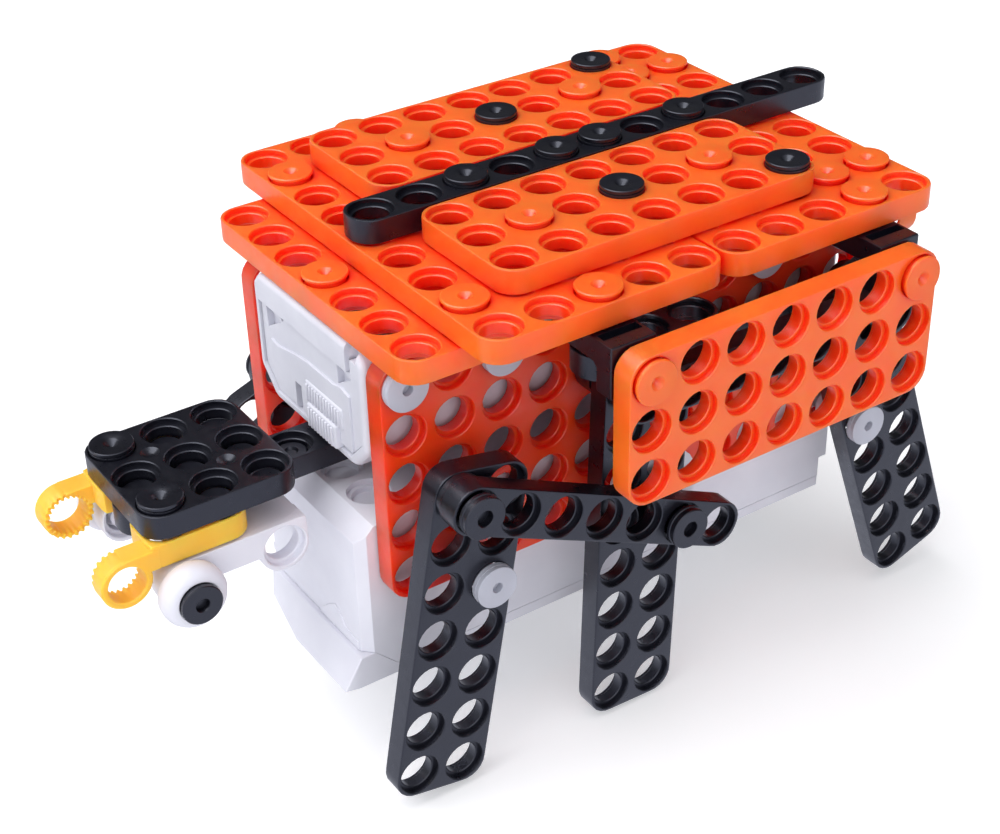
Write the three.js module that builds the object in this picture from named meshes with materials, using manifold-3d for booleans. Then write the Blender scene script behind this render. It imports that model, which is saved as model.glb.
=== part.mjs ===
// Six-legged walking robot built from a holed construction kit.
// Millimetres, +Z up. The robot faces -Y, and left and right are as seen from its front.
import * as THREE from "three";
import Module from "manifold-3d";
import { mergeVertices } from "three/addons/utils/BufferGeometryUtils.js";

const wasm = await Module();
wasm.setup();

// Kit grid
const PITCH = 6; // from one hole to the next
const HOLE_RADIUS = 2.1;
const SHEET = 2.8; // thickness of every holed piece
const SEAT_GAP = 0.3; // air between pieces that lie on each other
const CORNER_RADIUS = 2.6;
const CUT_OVERRUN = 1; // how far a cutting tool runs past what it cuts
const HOLE_SIDES = 6;
const CORNER_STEPS = 3;
const TURNED_SIDES = 10;
const ROUND_SIDES = 20;

const LAYER = SHEET + SEAT_GAP;
const EDGE = (PITCH - SEAT_GAP) / 2; // from the outer holes to the edge

// Heights of the stacked layers, each the top face of its layer
const PAD_TOP = LAYER;
const DECK_TOP = 0;
const UNDER_DECK_TOP = DECK_TOP - LAYER;
const BAR_TOP = UNDER_DECK_TOP - LAYER;
const BODY_TOP = BAR_TOP;
const SIDE_TOP_ROW = BODY_TOP - PITCH / 2;
const SIDE_ROWS = 5;
const AXLE_HEIGHT = SIDE_TOP_ROW - (SIDE_ROWS - 1) * PITCH;
const PANEL_TOP_ROW = UNDER_DECK_TOP - PITCH / 2;

// Distances of the upright layers from the middle plane
const BODY_HALF_WIDTH = 2 * PITCH;
const SIDE_INNER = BODY_HALF_WIDTH + SEAT_GAP;
const SIDE_OUTER = SIDE_INNER + SHEET;
const LEG_INNER = 3 * PITCH + SEAT_GAP;
const LEG_OUTER = LEG_INNER + SHEET;
const INNER_LINK_INNER = SIDE_OUTER + SEAT_GAP;
const INNER_LINK_OUTER = LEG_INNER - SEAT_GAP;
const LINK_GAP = 0.8; // running space between a leg and its outer link
const LINK_INNER = LEG_OUTER + LINK_GAP;
const LINK_OUTER = LINK_INNER + SHEET;
const PANEL_INNER = 5 * PITCH + SEAT_GAP;

// Grid places along the robot, counted in holes from the middle of the deck
const DECK_SIDE_HOLE = 4 * PITCH;
const UNDER_SIDE_HOLE = 3 * PITCH;
const DECK_FRONT_HOLE = -4.5 * PITCH;
const DECK_REAR_HOLE = 0.5 * PITCH;
const PAD_FIRST_HOLE = -3.5 * PITCH;
const UNDER_FRONT_HOLE = -5.5 * PITCH;
const UNDER_REAR_HOLE = 2.5 * PITCH;
const SIDE_FIRST_HOLE = -5.5 * PITCH;
const PANEL_FIRST_HOLE = -2.5 * PITCH;
const BRACKET_PLACES = { front: -2.5 * PITCH, rear: 3.5 * PITCH };
const BRACKET_HOLE = 4 * PITCH;
const FRONT_PIVOT = -4.5 * PITCH;
const REAR_PIVOT = 4.5 * PITCH;
const REAR_STRIP_RISE = 2.1; // keeps the rear strip above the swinging rear legs

// Walking linkage
const CRANK_PIN_RADIUS = 2;
const CRANK_PLACE = -1.6;
const LINK_SPAN_HOLES = 5; // from one pin of a link to the other
const ROCKER_ROWS = 3; // rear leg pivot below its link pin
const BORE_RADIUS = 2.3;
const SIDE_BORE_COLUMNS = [5, 6]; // bottom row holes that the shaft bore replaces

// Snap pegs
const PEG_RADIUS = 1.5;
const PEG_HEAD_RADIUS = 2.65;
const PEG_HEAD_LENGTH = 1.3;
const PIVOT_HEAD_LENGTH = 1.5;
const FLUSH_HEAD_LENGTH = 0.25; // a pivot head that its link passes over
const PEG_END_GAP = 0.35;

// Corner brackets
const BRACKET_SIDE_GAP = 0.45; // air beside the plates under the deck
const BRACKET_INNER = UNDER_SIDE_HOLE + EDGE + BRACKET_SIDE_GAP;
const BRACKET_OUTER = PANEL_INNER - SEAT_GAP;
const BRACKET_WEB = 2.6;
const BRACKET_DROP = PITCH;
const BRACKET_GUSSET = 0.5;
const BRACKET_SLOT_LENGTH = 4.8;
const BRACKET_SLOT_WIDTH = 1.2;
const BRACKET_SLOT_DEPTH = 0.8;
const BRACKET_SLOT_INSET = 2.4;
const BRACKET_SLOT_PLACE = BRACKET_OUTER - BRACKET_SLOT_INSET;
const BRACKET_BORE_DEPTH = 3.1;

// Battery case
const CASE_FRONT = -6 * PITCH;
const CASE_REAR = 5 * PITCH; // the pocket behind the cells takes up what they leave
const CASE_BOTTOM = -21.5;
const CASE_WALL = 1.2;
const CASE_LIP = 3.4; // wall left above the battery door
const DOOR_THICKNESS = 2;
const DOOR_KNUCKLE = 1;
const DOOR_SIDE_GAP = 0.4;
const DOOR_TOP_GAP = 0.35;
const LATCH_HALF_WIDTH = 3.6;
const LATCH_HEIGHT = 5.4;
const LATCH_PROUD = 0.5;
const CELL_RADIUS = 5.2;
const CELL_LENGTH = 43.5;
const CELL_NUB_RADIUS = 1.9;
const CELL_NUB_LENGTH = 1;
const CONTACT_THICKNESS = 0.5;
const CONTACT_HEIGHT = 7;
const SPRING_LENGTH = 5.4;
const SPRING_BASE_RADIUS = 3.6;
const SPRING_TIP_RADIUS = 2.2;

// Gearbox
const GEARBOX_RISE = 5.9; // from the crank shaft up to the top
const GEARBOX_SEAM_DROP = 10.9; // and down to the seam with the tray
const GEARBOX_NOSE = 3; // reaches out in front of the battery case
const GEARBOX_TOP = AXLE_HEIGHT + GEARBOX_RISE;
const GEARBOX_FRONT = CASE_FRONT - GEARBOX_NOSE;
const GEARBOX_SEAM = AXLE_HEIGHT - GEARBOX_SEAM_DROP;
const GEARBOX_WALL = 1.5;
const GEARBOX_TOP_CHAMFER = 1.8;
const GEARBOX_SIDE_CHAMFER = 2;
const TRAY_NOSE = 1.9; // reaches out in front of the gearbox
const TRAY_DEPTH = 4.5; // below the seam
const TRAY_FRONT = GEARBOX_FRONT - TRAY_NOSE;
const TRAY_STEP = 1.2; // the shell reaches this far behind the tray
const TRAY_BOTTOM = GEARBOX_SEAM - TRAY_DEPTH;
const TRAY_CUT_WIDTH = 12.3;
const TRAY_CUT_HEIGHT = 3.6;
const TRAY_CUT_DEPTH = 7;
const MOUNT_HOLE_ROW = -5.5 * PITCH;
const MOTOR_LENGTH = 23;
const MOTOR_REAR_GAP = 0.5;
const MOTOR_HALF_HEIGHT = 7.2;
const MOTOR_RADIUS = 10;
const MOTOR_NECK_RADIUS = 3;
const MOTOR_NECK_LENGTH = 1.6;
const MOTOR_NECK_GAP = 0.4; // between the motor's neck and the worm
const MOTOR_SHAFT_RADIUS = 1;
const WORM_LENGTH = 8;
const WORM_TIP_RADIUS = 2;
const WORM_ROOT_RADIUS = 1.6;
const WORM_BORE_DEPTH = 3;
const WORM_TURNS = 4;
const WORM_RINGS = 24;
const WORM_SIDES = 10;
const GEAR_TEETH = 14;
const GEAR_TIP_RADIUS = 4.1;
const GEAR_ROOT_RADIUS = 3.3;
const GEAR_WIDTH = 6;
const TOOTH_FLANK_SHARES = [0.1, 0.3, 0.55, 0.75];
const HUB_RADIUS = 2.9;
const HEX_RADIUS = 1.8;
const CRANK_RADIUS = 5.4;
const CRANK_SOCKET_DEPTH = 2;
const CRANK_STUB_START = 0.3;

// Head
const HEAD_FIRST_ROW = -9.5 * PITCH;
const HEAD_ROWS = 3;
const NECK_TOP = CASE_BOTTOM - SEAT_GAP;
const NECK_BOTTOM = NECK_TOP - SHEET;
const NECK_HOLES = 7;
const CLIP_ROWS = 2;
const CLIP_INNER = PITCH;
const CLIP_OUTER = CLIP_INNER + PITCH / 2;
const CLIP_REACH = 5.8; // from the foot's front hole to the ring
const CLIP_RING_DROP = 0.5;
const CLIP_RING_PLACE = HEAD_FIRST_ROW - CLIP_REACH;
const CLIP_RING_HEIGHT = NECK_BOTTOM - CLIP_RING_DROP;
const CLIP_RING_RADIUS = EDGE;
const CLIP_RING_BORE = 2.1;
const FORK_TOP = NECK_BOTTOM - SEAT_GAP;
const FORK_WEB = 1.45;
const FORK_DROP = PITCH;
const FORK_REAR_HOLE = HEAD_FIRST_ROW + (HEAD_ROWS - 1) * PITCH;
const FORK_REAR = FORK_REAR_HOLE + EDGE;
const FORK_HALF_WIDTH = PITCH + EDGE;
const FORK_ARM = EDGE;
const FORK_NOSE = 2.7; // from the rollers' axle to the front end
const ROLLER_PLACE = HEAD_FIRST_ROW + SEAT_GAP;
const FORK_FRONT = ROLLER_PLACE - FORK_NOSE;
const ROLLER_RADIUS = 3.7;
const ROLLER_WIDTH = 3;
const ROLLER_HEAD_LENGTH = 0.6;

function plastic(colour, roughness) {
  return new THREE.MeshStandardMaterial({ color: colour, roughness, metalness: 0 });
}

function metal(colour, roughness) {
  return new THREE.MeshStandardMaterial({ color: colour, roughness, metalness: 1 });
}

const orange = () => plastic(0xff5a1a, 0.45);
const black = () => plastic(0x26262c, 0.4);
const white = () => plastic(0xe6e6ee, 0.4);
const yellow = () => plastic(0xffc03a, 0.45);
const grey = () => plastic(0xc9ccd2, 0.35);
const steel = () => metal(0xb8bac0, 0.3);
const brass = () => metal(0xc9a256, 0.35);

// Points of an arc, from its start angle through its sweep
function arc(x, y, radius, start, sweep, steps) {
  return Array.from({ length: steps + 1 }, (_, step) => {
    const angle = start + (sweep * step) / steps;
    return new THREE.Vector2(x + radius * Math.cos(angle), y + radius * Math.sin(angle));
  });
}

function circle(x, y, radius, sides) {
  return arc(x, y, radius, 0, 2 * Math.PI, sides).slice(0, sides);
}

function roundedRectangle(x0, x1, y0, y1, radius) {
  const quarter = Math.PI / 2;
  return [
    ...arc(x1 - radius, y0 + radius, radius, -quarter, quarter, CORNER_STEPS),
    ...arc(x1 - radius, y1 - radius, radius, 0, quarter, CORNER_STEPS),
    ...arc(x0 + radius, y1 - radius, radius, quarter, quarter, CORNER_STEPS),
    ...arc(x0 + radius, y0 + radius, radius, 2 * quarter, quarter, CORNER_STEPS),
  ];
}

function extrude(outline, depth, holes = []) {
  const shape = new THREE.Shape(outline);
  for (const hole of holes) {
    shape.holes.push(new THREE.Path(hole));
  }
  return new THREE.ExtrudeGeometry(shape, { depth, bevelEnabled: false });
}

// Turns a drawing's x, y and depth into the robot's Y, Z and X
function standing(geometry) {
  const x = new THREE.Vector3(1, 0, 0);
  const y = new THREE.Vector3(0, 1, 0);
  const z = new THREE.Vector3(0, 0, 1);
  return geometry.applyMatrix4(new THREE.Matrix4().makeBasis(y, z, x));
}

// Turns a drawing's x, y and depth into the robot's X, Z and -Y
function facing(geometry) {
  return geometry.rotateX(Math.PI / 2);
}

// A rounded plate with a grid of holes, its first hole at the origin
function plate(columns, rows, { skips = [], bores = [], thickness = SHEET } = {}) {
  const width = (columns - 1) * PITCH;
  const height = (rows - 1) * PITCH;
  const outline = roundedRectangle(-EDGE, width + EDGE, -EDGE, height + EDGE, CORNER_RADIUS);
  const holes = [];
  for (let row = 0; row < rows; row += 1) {
    for (let column = 0; column < columns; column += 1) {
      const skipped = row === 0 && skips.includes(column);
      if (!skipped) {
        holes.push(circle(column * PITCH, row * PITCH, HOLE_RADIUS, HOLE_SIDES));
      }
    }
  }
  for (const bore of bores) {
    holes.push(circle(bore.x, bore.y, bore.radius, ROUND_SIDES));
  }
  return extrude(outline, thickness, holes);
}

function box(x0, x1, y0, y1, z0, z1) {
  const geometry = new THREE.BoxGeometry(x1 - x0, y1 - y0, z1 - z0);
  return geometry.translate((x0 + x1) / 2, (y0 + y1) / 2, (z0 + z1) / 2);
}

// A round piece about the Z axis, from steps of { from, to, radius } going up
function turned(steps, sides = TURNED_SIDES) {
  const profile = [new THREE.Vector2(0, steps[0].from)];
  for (const step of steps) {
    profile.push(new THREE.Vector2(step.radius, step.from));
    profile.push(new THREE.Vector2(step.radius, step.to));
  }
  profile.push(new THREE.Vector2(0, steps[steps.length - 1].to));
  return new THREE.LatheGeometry(profile, sides).rotateX(Math.PI / 2);
}

// The same, lying along X towards the side given as 1 or -1
function turnedAcross(steps, side, sides = TURNED_SIDES) {
  return turned(steps, sides).rotateY((side * Math.PI) / 2);
}

function solid(geometry) {
  const bare = geometry.clone();
  bare.deleteAttribute("normal");
  bare.deleteAttribute("uv");
  const merged = mergeVertices(bare);
  const vertProperties = Float32Array.from(merged.attributes.position.array);
  const triVerts = Uint32Array.from(merged.index.array);
  return new wasm.Manifold(new wasm.Mesh({ numProp: 3, vertProperties, triVerts }));
}

function geometryOf(body) {
  const mesh = body.getMesh();
  const geometry = new THREE.BufferGeometry();
  geometry.setAttribute("position", new THREE.BufferAttribute(mesh.vertProperties, 3));
  geometry.setIndex(new THREE.BufferAttribute(mesh.triVerts, 1));
  geometry.computeVertexNormals();
  return geometry;
}

function combine(first, { add = [], cut = [] }) {
  let body = solid(first);
  for (const geometry of add) {
    body = body.add(solid(geometry));
  }
  for (const geometry of cut) {
    body = body.subtract(solid(geometry));
  }
  return geometryOf(body);
}

function mesh(name, geometry, material, x = 0, y = 0, z = 0) {
  const part = new THREE.Mesh(geometry, material);
  part.name = name;
  part.position.set(x, y, z);
  return part;
}

const sides = [
  { name: "left", sign: -1 },
  { name: "right", sign: 1 },
];

// Place along X of a layer that starts at the given distance on one side
function layerPlace(side, inner, thickness = SHEET) {
  return side.sign > 0 ? inner : -inner - thickness;
}

// Flat plates of the deck, with the beam and pads on top
function deckPlates() {
  const wide = -DECK_SIDE_HOLE;
  const narrow = -UNDER_SIDE_HOLE;
  const stripRow = SIDE_TOP_ROW + REAR_STRIP_RISE;
  const parts = [
    mesh("deck_front", plate(9, 5), orange(), wide, DECK_FRONT_HOLE, DECK_TOP - SHEET),
    mesh("deck_rear", plate(9, 5), orange(), wide, DECK_REAR_HOLE, DECK_TOP - SHEET),
    mesh("under_deck_front", plate(7, 3), orange(), narrow, UNDER_FRONT_HOLE, UNDER_DECK_TOP - SHEET),
    mesh("under_deck_rear", plate(7, 3), orange(), narrow, UNDER_REAR_HOLE, UNDER_DECK_TOP - SHEET),
    mesh("spine_beam", plate(1, 11), black(), 0, DECK_FRONT_HOLE, PAD_TOP - SHEET),
    mesh("rear_strip", facing(plate(7, 1)), orange(), narrow, REAR_STRIP_FACE + SHEET, stripRow),
  ];
  for (const side of sides) {
    const first = side.sign > 0 ? PITCH : narrow;
    const pad = plate(3, 7);
    parts.push(mesh(`top_pad_${side.name}`, pad, orange(), first, PAD_FIRST_HOLE, PAD_TOP - SHEET));
  }
  return parts;
}

function sidePlate(side) {
  const bores = [{ x: CRANK_PLACE - SIDE_FIRST_HOLE, y: 0, radius: BORE_RADIUS }];
  const geometry = standing(plate(11, SIDE_ROWS, { skips: SIDE_BORE_COLUMNS, bores }));
  const x = layerPlace(side, SIDE_INNER);
  return mesh(`side_plate_${side.name}`, geometry, orange(), x, SIDE_FIRST_HOLE, AXLE_HEIGHT);
}

function sidePanel(side) {
  const rows = 3;
  const bottomRow = PANEL_TOP_ROW - (rows - 1) * PITCH;
  const geometry = standing(plate(7, rows));
  const x = layerPlace(side, PANEL_INNER);
  return mesh(`side_panel_${side.name}`, geometry, orange(), x, PANEL_FIRST_HOLE, bottomRow);
}

// An angle bracket that hangs under the deck and carries the side panel
function bracketGeometry(side) {
  const top = UNDER_DECK_TOP;
  const flange = top - SHEET;
  const bottom = top - BRACKET_DROP;
  const web = BRACKET_OUTER - BRACKET_WEB;
  const outline = [
    [BRACKET_INNER, top],
    [BRACKET_INNER, flange],
    [web - BRACKET_GUSSET, flange],
    [web, flange - BRACKET_GUSSET],
    [web, bottom],
    [BRACKET_OUTER, bottom],
    [BRACKET_OUTER, top],
  ].map(([x, z]) => new THREE.Vector2(side.sign * x, z));
  const body = facing(extrude(outline, 2 * EDGE)).translate(0, EDGE, 0);
  const deckSteps = [{ from: flange - CUT_OVERRUN, to: top + CUT_OVERRUN, radius: HOLE_RADIUS }];
  const deckBore = turned(deckSteps, HOLE_SIDES);
  deckBore.translate(side.sign * BRACKET_HOLE, 0, 0);
  const boreStart = BRACKET_OUTER - BRACKET_BORE_DEPTH;
  const boreSteps = [{ from: boreStart, to: BRACKET_OUTER + CUT_OVERRUN, radius: HOLE_RADIUS }];
  const panelBore = turnedAcross(boreSteps, side.sign, HOLE_SIDES).translate(0, 0, PANEL_TOP_ROW);
  const slotX = side.sign * BRACKET_SLOT_PLACE;
  const slot = box(
    slotX - BRACKET_SLOT_WIDTH / 2,
    slotX + BRACKET_SLOT_WIDTH / 2,
    -BRACKET_SLOT_LENGTH / 2,
    BRACKET_SLOT_LENGTH / 2,
    top - BRACKET_SLOT_DEPTH,
    top + CUT_OVERRUN,
  );
  return combine(body, { cut: [deckBore, panelBore, slot] });
}

function brackets(side) {
  return Object.entries(BRACKET_PLACES).map(([end, place]) =>
    mesh(`bracket_${end}_${side.name}`, bracketGeometry(side), black(), 0, place, 0),
  );
}

function bracketBar(side) {
  const x = side.sign * BRACKET_HOLE;
  return mesh(`bracket_bar_${side.name}`, plate(1, 3), black(), x, BRACKET_PLACES.front, BAR_TOP - SHEET);
}

const BAY_HALF_WIDTH = BODY_HALF_WIDTH - CASE_WALL;
const BAY_BOTTOM = CASE_BOTTOM + CASE_WALL;
const BAY_TOP = BODY_TOP - CASE_WALL;
const DOOR_OPENING_TOP = BODY_TOP - CASE_LIP;
const DOOR_AXIS_HEIGHT = DOOR_OPENING_TOP - DOOR_TOP_GAP - DOOR_KNUCKLE;
const DOOR_AXIS_PLACE = CASE_FRONT + DOOR_THICKNESS / 2;
const DOOR_BOTTOM = BAY_BOTTOM + SEAT_GAP;
const DOOR_HALF_WIDTH = BAY_HALF_WIDTH - DOOR_SIDE_GAP;
const CONTACT_PLACE = CASE_FRONT + DOOR_THICKNESS + SEAT_GAP;
const CELL_PLACE = CONTACT_PLACE + CONTACT_THICKNESS + SEAT_GAP + CELL_NUB_LENGTH;
const CELL_HEIGHT = BAY_BOTTOM + CELL_RADIUS + SEAT_GAP;
const CELL_OFFSET = CELL_RADIUS + SEAT_GAP / 2;
const SPRING_FRONT = CELL_PLACE + CELL_LENGTH + SEAT_GAP;
const BAY_REAR = SPRING_FRONT + SPRING_LENGTH + SEAT_GAP;
const REAR_STRIP_FACE = CASE_REAR + SEAT_GAP;

function batteryCase() {
  const w = BODY_HALF_WIDTH;
  const b = BAY_HALF_WIDTH;
  const outer = box(-w, w, CASE_FRONT, CASE_REAR, CASE_BOTTOM, BODY_TOP);
  const lipRear = CASE_FRONT + DOOR_THICKNESS + SEAT_GAP;
  const doorway = box(-b, b, CASE_FRONT - CUT_OVERRUN, lipRear + CUT_OVERRUN, BAY_BOTTOM, DOOR_OPENING_TOP);
  const bay = box(-b, b, lipRear, BAY_REAR, BAY_BOTTOM, BAY_TOP);
  const wellFront = BAY_REAR + CASE_WALL;
  const well = box(-b, b, wellFront, CASE_REAR - CASE_WALL, CASE_BOTTOM - CUT_OVERRUN, BAY_TOP);
  return mesh("battery_case", combine(outer, { cut: [doorway, bay, well] }), white());
}

// The hinged door, drawn with its hinge line at the origin
function batteryDoor() {
  const half = DOOR_THICKNESS / 2;
  const drop = DOOR_BOTTOM - DOOR_AXIS_HEIGHT;
  const latchTop = drop + LATCH_HEIGHT;
  const knuckle = arc(0, 0, DOOR_KNUCKLE, 0, Math.PI, 2 * CORNER_STEPS);
  const outline = [...knuckle, new THREE.Vector2(-half, drop), new THREE.Vector2(half, drop)];
  const leaf = standing(extrude(outline, 2 * DOOR_HALF_WIDTH)).translate(-DOOR_HALF_WIDTH, 0, 0);
  const latch = box(-LATCH_HALF_WIDTH, LATCH_HALF_WIDTH, -half - LATCH_PROUD, 0, drop, latchTop);
  const geometry = combine(leaf, { add: [latch] });
  return mesh("battery_door", geometry, white(), 0, DOOR_AXIS_PLACE, DOOR_AXIS_HEIGHT);
}

// A cell with its nub at the end that the direction points to
function batteryCell(name, x, direction) {
  const steps = [
    { from: 0, to: CELL_LENGTH, radius: CELL_RADIUS },
    { from: CELL_LENGTH, to: CELL_LENGTH + CELL_NUB_LENGTH, radius: CELL_NUB_RADIUS },
  ];
  const geometry = turned(steps, ROUND_SIDES).rotateX((-direction * Math.PI) / 2);
  const place = direction > 0 ? CELL_PLACE - CELL_NUB_LENGTH : CELL_PLACE + CELL_LENGTH;
  return mesh(name, geometry, metal(0xb9873a, 0.35), x, place, CELL_HEIGHT);
}

function batteryContacts() {
  const half = CELL_OFFSET + CELL_NUB_RADIUS;
  const low = CELL_HEIGHT - CONTACT_HEIGHT / 2;
  const high = CELL_HEIGHT + CONTACT_HEIGHT / 2;
  const bridge = box(-half, half, CONTACT_PLACE, CONTACT_PLACE + CONTACT_THICKNESS, low, high);
  const springRear = SPRING_FRONT + SPRING_LENGTH;
  const profile = [
    new THREE.Vector2(0, SPRING_FRONT),
    new THREE.Vector2(SPRING_TIP_RADIUS, SPRING_FRONT),
    new THREE.Vector2(SPRING_BASE_RADIUS, springRear),
    new THREE.Vector2(0, springRear),
  ];
  const spring = new THREE.LatheGeometry(profile, TURNED_SIDES);
  return [
    mesh("battery_bridge_contact", bridge, brass()),
    mesh("battery_spring_contact", spring, steel(), -CELL_OFFSET, 0, CELL_HEIGHT),
  ];
}

const WORM_AXIS_HEIGHT = AXLE_HEIGHT - GEAR_TIP_RADIUS - WORM_TIP_RADIUS - SEAT_GAP;
const WORM_PLACE = CRANK_PLACE - WORM_LENGTH / 2;
const MOTOR_FRONT = WORM_PLACE + WORM_LENGTH + MOTOR_NECK_GAP + MOTOR_NECK_LENGTH;
const TRAY_REAR = MOTOR_FRONT + MOTOR_LENGTH + MOTOR_REAR_GAP + GEARBOX_WALL;
const GEARBOX_REAR = TRAY_REAR + TRAY_STEP;
const SHELL_HALF_INNER = BODY_HALF_WIDTH - GEARBOX_WALL;

function shaftBore() {
  const reach = BODY_HALF_WIDTH + CUT_OVERRUN;
  const bore = turnedAcross([{ from: -reach, to: reach, radius: BORE_RADIUS }], 1, ROUND_SIDES);
  return bore.translate(0, CRANK_PLACE, AXLE_HEIGHT);
}

function gearboxShell() {
  const w = BODY_HALF_WIDTH;
  const height = GEARBOX_TOP - GEARBOX_SEAM;
  const plan = [
    new THREE.Vector2(-w, GEARBOX_FRONT),
    new THREE.Vector2(w - GEARBOX_SIDE_CHAMFER, GEARBOX_FRONT),
    new THREE.Vector2(w, GEARBOX_FRONT + GEARBOX_SIDE_CHAMFER),
    new THREE.Vector2(w, GEARBOX_REAR),
    new THREE.Vector2(-w, GEARBOX_REAR),
  ];
  const outer = extrude(plan, height).translate(0, 0, GEARBOX_SEAM);
  const chamferOutline = [
    new THREE.Vector2(GEARBOX_FRONT - CUT_OVERRUN, GEARBOX_TOP - GEARBOX_TOP_CHAMFER - CUT_OVERRUN),
    new THREE.Vector2(GEARBOX_FRONT + GEARBOX_TOP_CHAMFER + CUT_OVERRUN, GEARBOX_TOP + CUT_OVERRUN),
    new THREE.Vector2(GEARBOX_FRONT - CUT_OVERRUN, GEARBOX_TOP + CUT_OVERRUN),
  ];
  const reach = w + CUT_OVERRUN;
  const chamfer = standing(extrude(chamferOutline, 2 * reach)).translate(-reach, 0, 0);
  const inner = box(
    -SHELL_HALF_INNER,
    SHELL_HALF_INNER,
    GEARBOX_FRONT + GEARBOX_WALL,
    GEARBOX_REAR - GEARBOX_WALL,
    GEARBOX_SEAM - CUT_OVERRUN,
    GEARBOX_TOP - GEARBOX_WALL,
  );
  const holeStart = GEARBOX_TOP - GEARBOX_WALL - CUT_OVERRUN;
  const holeSteps = [{ from: holeStart, to: GEARBOX_TOP + CUT_OVERRUN, radius: HOLE_RADIUS }];
  const holes = [0, PITCH].map((x) => turned(holeSteps, HOLE_SIDES).translate(x, MOUNT_HOLE_ROW, 0));
  return mesh("gearbox_shell", combine(outer, { cut: [chamfer, inner, shaftBore(), ...holes] }), white());
}

function gearboxTray() {
  const w = BODY_HALF_WIDTH;
  const top = GEARBOX_SEAM - SEAT_GAP;
  const outer = box(-w, w, TRAY_FRONT, TRAY_REAR, TRAY_BOTTOM, top);
  const inner = box(
    -SHELL_HALF_INNER,
    SHELL_HALF_INNER,
    GEARBOX_FRONT + GEARBOX_WALL,
    TRAY_REAR - GEARBOX_WALL,
    TRAY_BOTTOM + GEARBOX_WALL,
    top + CUT_OVERRUN,
  );
  const low = TRAY_BOTTOM - CUT_OVERRUN;
  const cutOutline = [
    new THREE.Vector2(-w - CUT_OVERRUN, low),
    new THREE.Vector2(TRAY_CUT_WIDTH - w, low),
    new THREE.Vector2(TRAY_CUT_WIDTH - w, TRAY_BOTTOM),
    new THREE.Vector2(-w - CUT_OVERRUN, TRAY_BOTTOM + TRAY_CUT_HEIGHT),
  ];
  const noseCut = facing(extrude(cutOutline, TRAY_CUT_DEPTH)).translate(0, GEARBOX_FRONT, 0);
  return mesh("gearbox_tray", combine(outer, { cut: [noseCut, inner] }), white());
}

function motor() {
  const flat = Math.asin(MOTOR_HALF_HEIGHT / MOTOR_RADIUS);
  const outline = [
    ...arc(0, 0, MOTOR_RADIUS, -flat, 2 * flat, 2 * CORNER_STEPS),
    ...arc(0, 0, MOTOR_RADIUS, Math.PI - flat, 2 * flat, 2 * CORNER_STEPS),
  ];
  const can = facing(extrude(outline, MOTOR_LENGTH)).translate(0, MOTOR_LENGTH, 0);
  const wormRear = WORM_PLACE + WORM_LENGTH - MOTOR_FRONT;
  const shaftSteps = [
    { from: -CUT_OVERRUN, to: MOTOR_NECK_LENGTH, radius: MOTOR_NECK_RADIUS },
    { from: MOTOR_NECK_LENGTH, to: WORM_BORE_DEPTH - SEAT_GAP - wormRear, radius: MOTOR_SHAFT_RADIUS },
  ];
  const shaft = turned(shaftSteps).rotateX(Math.PI / 2);
  return mesh("motor", combine(can, { add: [shaft] }), steel(), 0, MOTOR_FRONT, WORM_AXIS_HEIGHT);
}

// A worm whose ridge climbs along its length, drawn along Z
function wormRidge() {
  const positions = [];
  const indices = [];
  for (let ring = 0; ring <= WORM_RINGS; ring += 1) {
    const along = (WORM_LENGTH * ring) / WORM_RINGS;
    const wind = (2 * Math.PI * WORM_TURNS * ring) / WORM_RINGS;
    for (let side = 0; side < WORM_SIDES; side += 1) {
      const angle = (2 * Math.PI * side) / WORM_SIDES;
      const lift = (1 + Math.cos(angle - wind)) / 2;
      const radius = WORM_ROOT_RADIUS + (WORM_TIP_RADIUS - WORM_ROOT_RADIUS) * lift;
      positions.push(radius * Math.cos(angle), radius * Math.sin(angle), along);
    }
  }
  for (let ring = 0; ring < WORM_RINGS; ring += 1) {
    for (let side = 0; side < WORM_SIDES; side += 1) {
      const a = ring * WORM_SIDES + side;
      const b = ring * WORM_SIDES + ((side + 1) % WORM_SIDES);
      indices.push(a, b, b + WORM_SIDES, a, b + WORM_SIDES, a + WORM_SIDES);
    }
  }
  const last = WORM_RINGS * WORM_SIDES;
  for (let side = 1; side < WORM_SIDES - 1; side += 1) {
    indices.push(0, side + 1, side);
    indices.push(last, last + side, last + side + 1);
  }
  const geometry = new THREE.BufferGeometry();
  geometry.setAttribute("position", new THREE.Float32BufferAttribute(positions, 3));
  geometry.setIndex(indices);
  return geometry;
}

function worm() {
  const boreRadius = MOTOR_SHAFT_RADIUS + SEAT_GAP;
  const boreSteps = [
    { from: WORM_LENGTH - WORM_BORE_DEPTH, to: WORM_LENGTH + CUT_OVERRUN, radius: boreRadius },
  ];
  const geometry = combine(wormRidge(), { cut: [turned(boreSteps, HOLE_SIDES)] });
  geometry.rotateX(-Math.PI / 2);
  return mesh("worm", geometry, black(), 0, WORM_PLACE, WORM_AXIS_HEIGHT);
}

function gearOutline() {
  const radii = [GEAR_ROOT_RADIUS, GEAR_TIP_RADIUS, GEAR_TIP_RADIUS, GEAR_ROOT_RADIUS];
  const points = [];
  for (let tooth = 0; tooth < GEAR_TEETH; tooth += 1) {
    radii.forEach((radius, index) => {
      const angle = (2 * Math.PI * (tooth + TOOTH_FLANK_SHARES[index])) / GEAR_TEETH;
      points.push(new THREE.Vector2(radius * Math.cos(angle), radius * Math.sin(angle)));
    });
  }
  return points;
}

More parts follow.
